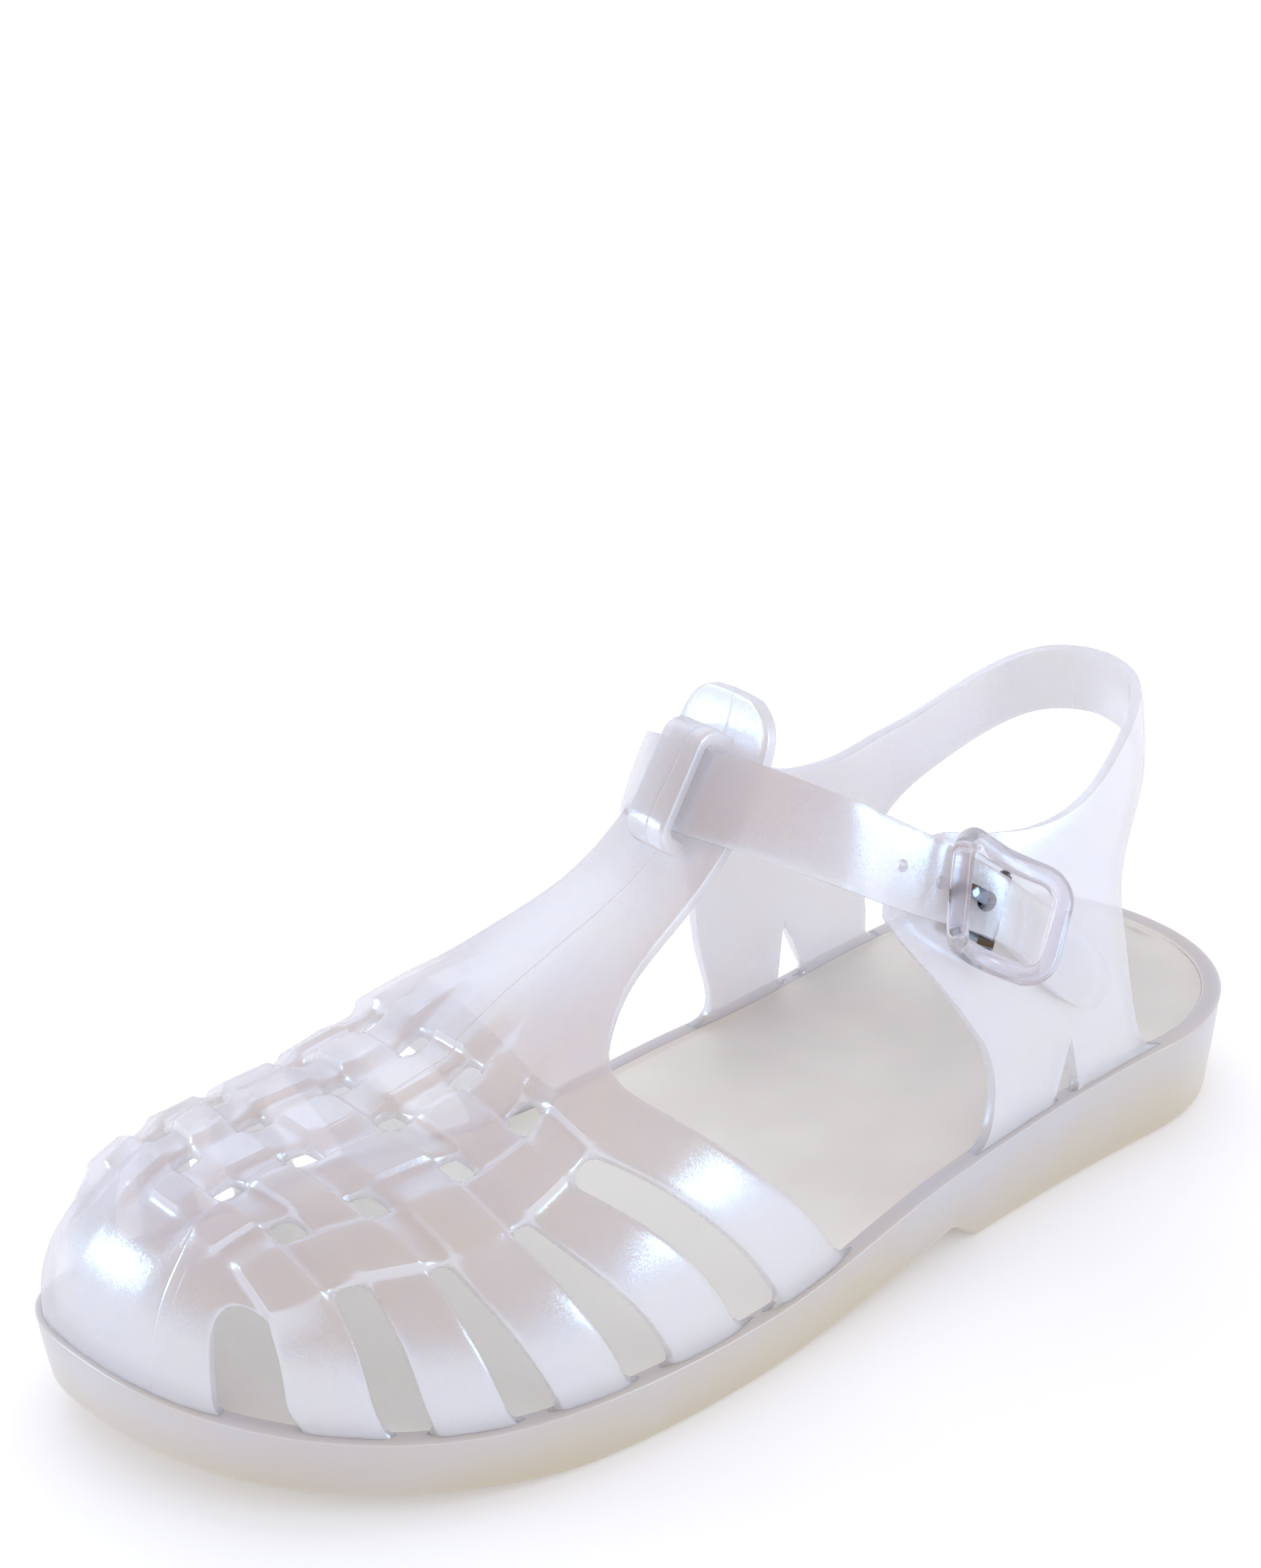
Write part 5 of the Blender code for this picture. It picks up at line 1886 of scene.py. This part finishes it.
@dataclass
class Studio:
    """Paper floor, soft light and the camera."""

    eye_mm: Point = (355.04, -332.19, 298.53)
    right: Point = (0.66752, 0.74459, 0.00145)
    up: Point = (-0.31416, 0.27987, 0.90718)
    back: Point = (0.67507, -0.60602, 0.42074)
    focal_px: float = 5199.5
    frame_height_px: float = 2156.0
    sensor_mm: float = 36.0
    floor_m: float = 40.0
    floor_cells: int = 4
    floor_gap_mm: float = 0.1
    dome: str = "#F2F2FA"
    horizon: str = "#EAEDFF"
    ceiling: str = "#C4966C"
    # level direction of the unlit side of the room, behind the camera
    dark_side: Point = (0.87, -0.50, 0.0)
    # how far up, and how far round to that side, the walls turn into the warm ceiling
    ceiling_ramp: Pair = (0.06, 0.28)
    dark_ramp: Pair = (-0.65, -0.15)
    world_strength: float = 0.78
    dome_share: float = 1.09
    fill_strength: float = 0.45
    fill_angle: float = 60.0
    fill_from: Point = (-0.50, 0.30, 1.0)
    boxes: tuple[SoftBox, ...] = (
        SoftBox("toe_box", (-0.81, -1.0, 0.28), (0.45, 0.36), 3.6, "#C2E6FF"),
        SoftBox("outer_box", (1.10, 0.68, 0.26), (0.50, 0.34), 3.0, "#C2E6FF"),
        SoftBox("rear_box", (-0.95, 0.35, 0.85), (0.60, 0.60), 0.6, "#E2F1FF"))

    def camera(self) -> None:
        """Sets the camera at the photograph's angle."""
        data = bpy.data.cameras.new("photo_camera")
        data.sensor_fit = "VERTICAL"
        data.sensor_height = self.sensor_mm
        data.lens = self.focal_px / self.frame_height_px * self.sensor_mm
        camera = new_piece("photo_camera", data)
        axes = Matrix((self.right, self.up, self.back)).transposed().to_4x4()
        camera.matrix_world = Matrix.Translation(Vector(self.eye_mm) * MM) @ axes
        bpy.context.scene.camera = camera

    def world(self) -> None:
        """Even white dome for the light, a room for gloss to mirror and plain white for the view."""
        world = bpy.data.worlds.new("white_studio")
        world.use_nodes = True
        bpy.context.scene.world = world
        tree = world.node_tree
        place = add_node(tree, "ShaderNodeTexCoord").outputs["Generated"]
        split = add_node(tree, "ShaderNodeSeparateXYZ", {"Vector": place})
        round_to = add_node(tree, "ShaderNodeVectorMath", {0: place, 1: self.dark_side},
                            operation="DOT_PRODUCT")
        above, near = [add_node(tree, "ShaderNodeMapRange",
                                {"Value": value, "From Min": ramp[0], "From Max": ramp[1]},
                                interpolation_type="SMOOTHSTEP")
                       for value, ramp in ((split.outputs["Z"], self.ceiling_ramp),
                                           (round_to.outputs["Value"], self.dark_ramp))]
        share = add_node(tree, "ShaderNodeMath", {0: above.outputs[0], 1: near.outputs[0]},
                         operation="MULTIPLY")
        room = add_node(tree, "ShaderNodeMix",
                        {0: share.outputs[0], 6: linear(self.horizon), 7: linear(self.ceiling)},
                        data_type="RGBA")
        # The room is what gloss mirrors; the light itself comes evenly from the dome
        path = add_node(tree, "ShaderNodeLightPath")
        even = [c * self.dome_share for c in linear(self.dome)[:3]] + [1.0]
        lit = add_node(tree, "ShaderNodeMix",
                       {0: path.outputs["Is Glossy Ray"], 6: even, 7: room.outputs[2]}, data_type="RGBA")
        white = [1 / self.world_strength] * 3 + [1.0]
        view = add_node(tree, "ShaderNodeMix",
                        {0: path.outputs["Is Camera Ray"], 6: lit.outputs[2], 7: white}, data_type="RGBA")
        plug(tree, tree.nodes["Background"], {"Color": view.outputs[2], "Strength": self.world_strength})

    def lights(self) -> None:
        """Soft boxes that face the shoe, and a broad fill from above that gloss doesn't mirror."""
        for box in self.boxes:
            data = bpy.data.lights.new(box.name, "AREA")
            data.shape = "RECTANGLE"
            data.size, data.size_y = box.size_m
            data.energy = box.watts
            data.color = linear(box.colour)[:3]
            light = new_piece(box.name, data)
            light.location = box.place_m
            light.rotation_euler = Vector(box.place_m).to_track_quat("Z", "Y").to_euler()
        data = bpy.data.lights.new("overhead_fill", "SUN")
        data.energy = self.fill_strength
        data.angle = math.radians(self.fill_angle)
        fill = new_piece("overhead_fill", data)
        fill.rotation_euler = Vector(self.fill_from).to_track_quat("Z", "Y").to_euler()
        fill.visible_glossy = False

    def floor(self, material: bpy.types.Material) -> bpy.types.Object:
        """Lays the paper floor under the shoe.

        Args:
            material: Its finish.

        Returns:
            The floor.
        """
        bm = bmesh.new()
        bmesh.ops.create_grid(bm, x_segments=self.floor_cells, y_segments=self.floor_cells,
                              size=self.floor_m / 2)
        floor = new_piece("studio_floor", mesh_of(bm, "studio_floor"), [material])
        floor.location.z = -self.floor_gap_mm * MM
        return floor

    def build(self) -> bpy.types.Object:
        """Sets up camera, world and lights.

        Returns:
            The floor.
        """
        bpy.context.scene.view_settings.view_transform = "Standard"
        self.camera()
        self.world()
        self.lights()
        return self.floor(StudioPaper().material())


def place_piece(piece: bpy.types.Object, node: str) -> None:
    """Puts a piece on the part's one body in place of a solid.

    Args:
        piece: The dressed piece.
        node: Solid that it stands for.
    """
    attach(piece, "root")
    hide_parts(node)
    LOG.info("%s stands for %s with %d faces", piece.name, node, len(piece.data.polygons))


def main() -> None:
    """Builds the dressed sandal and its studio."""
    logging.basicConfig(level=logging.INFO, format="%(name)s: %(message)s")
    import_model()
    Studio().build()
    last = Last()
    walls = Walls()
    vamp = Vamp(last, walls)
    heel = HeelPiece(last, walls, vamp)
    strap = AnkleStrap(heel)
    buckle = Buckle(heel)
    upper = Upper(last, walls, vamp, heel, strap, KeeperLoop(strap))
    holes = [hole_cutter("strap_hole_%d" % (k + 1), *strap.place(y, z), strap.hole_diameter)
             for k, (y, z) in enumerate(strap.holes)]
    holes.append(hole_cutter("prong_hole", *buckle.hole_place(), buckle.hole_diameter))
    steel = NickelPlate().material()
    place_piece(upper.build(PearlPvc().material(), holes), "upper")
    place_piece(Sole(last).build(CreamPvc().material(), FOOTBED_PVC.material()), "sole")
    frame, pin, prong = buckle.build(ClearPlastic().material(), steel)
    place_piece(frame, "buckle_frame")
    place_piece(pin, "buckle_bar")
    place_piece(prong, "buckle_prong")


if __name__ == "__main__":
    main()
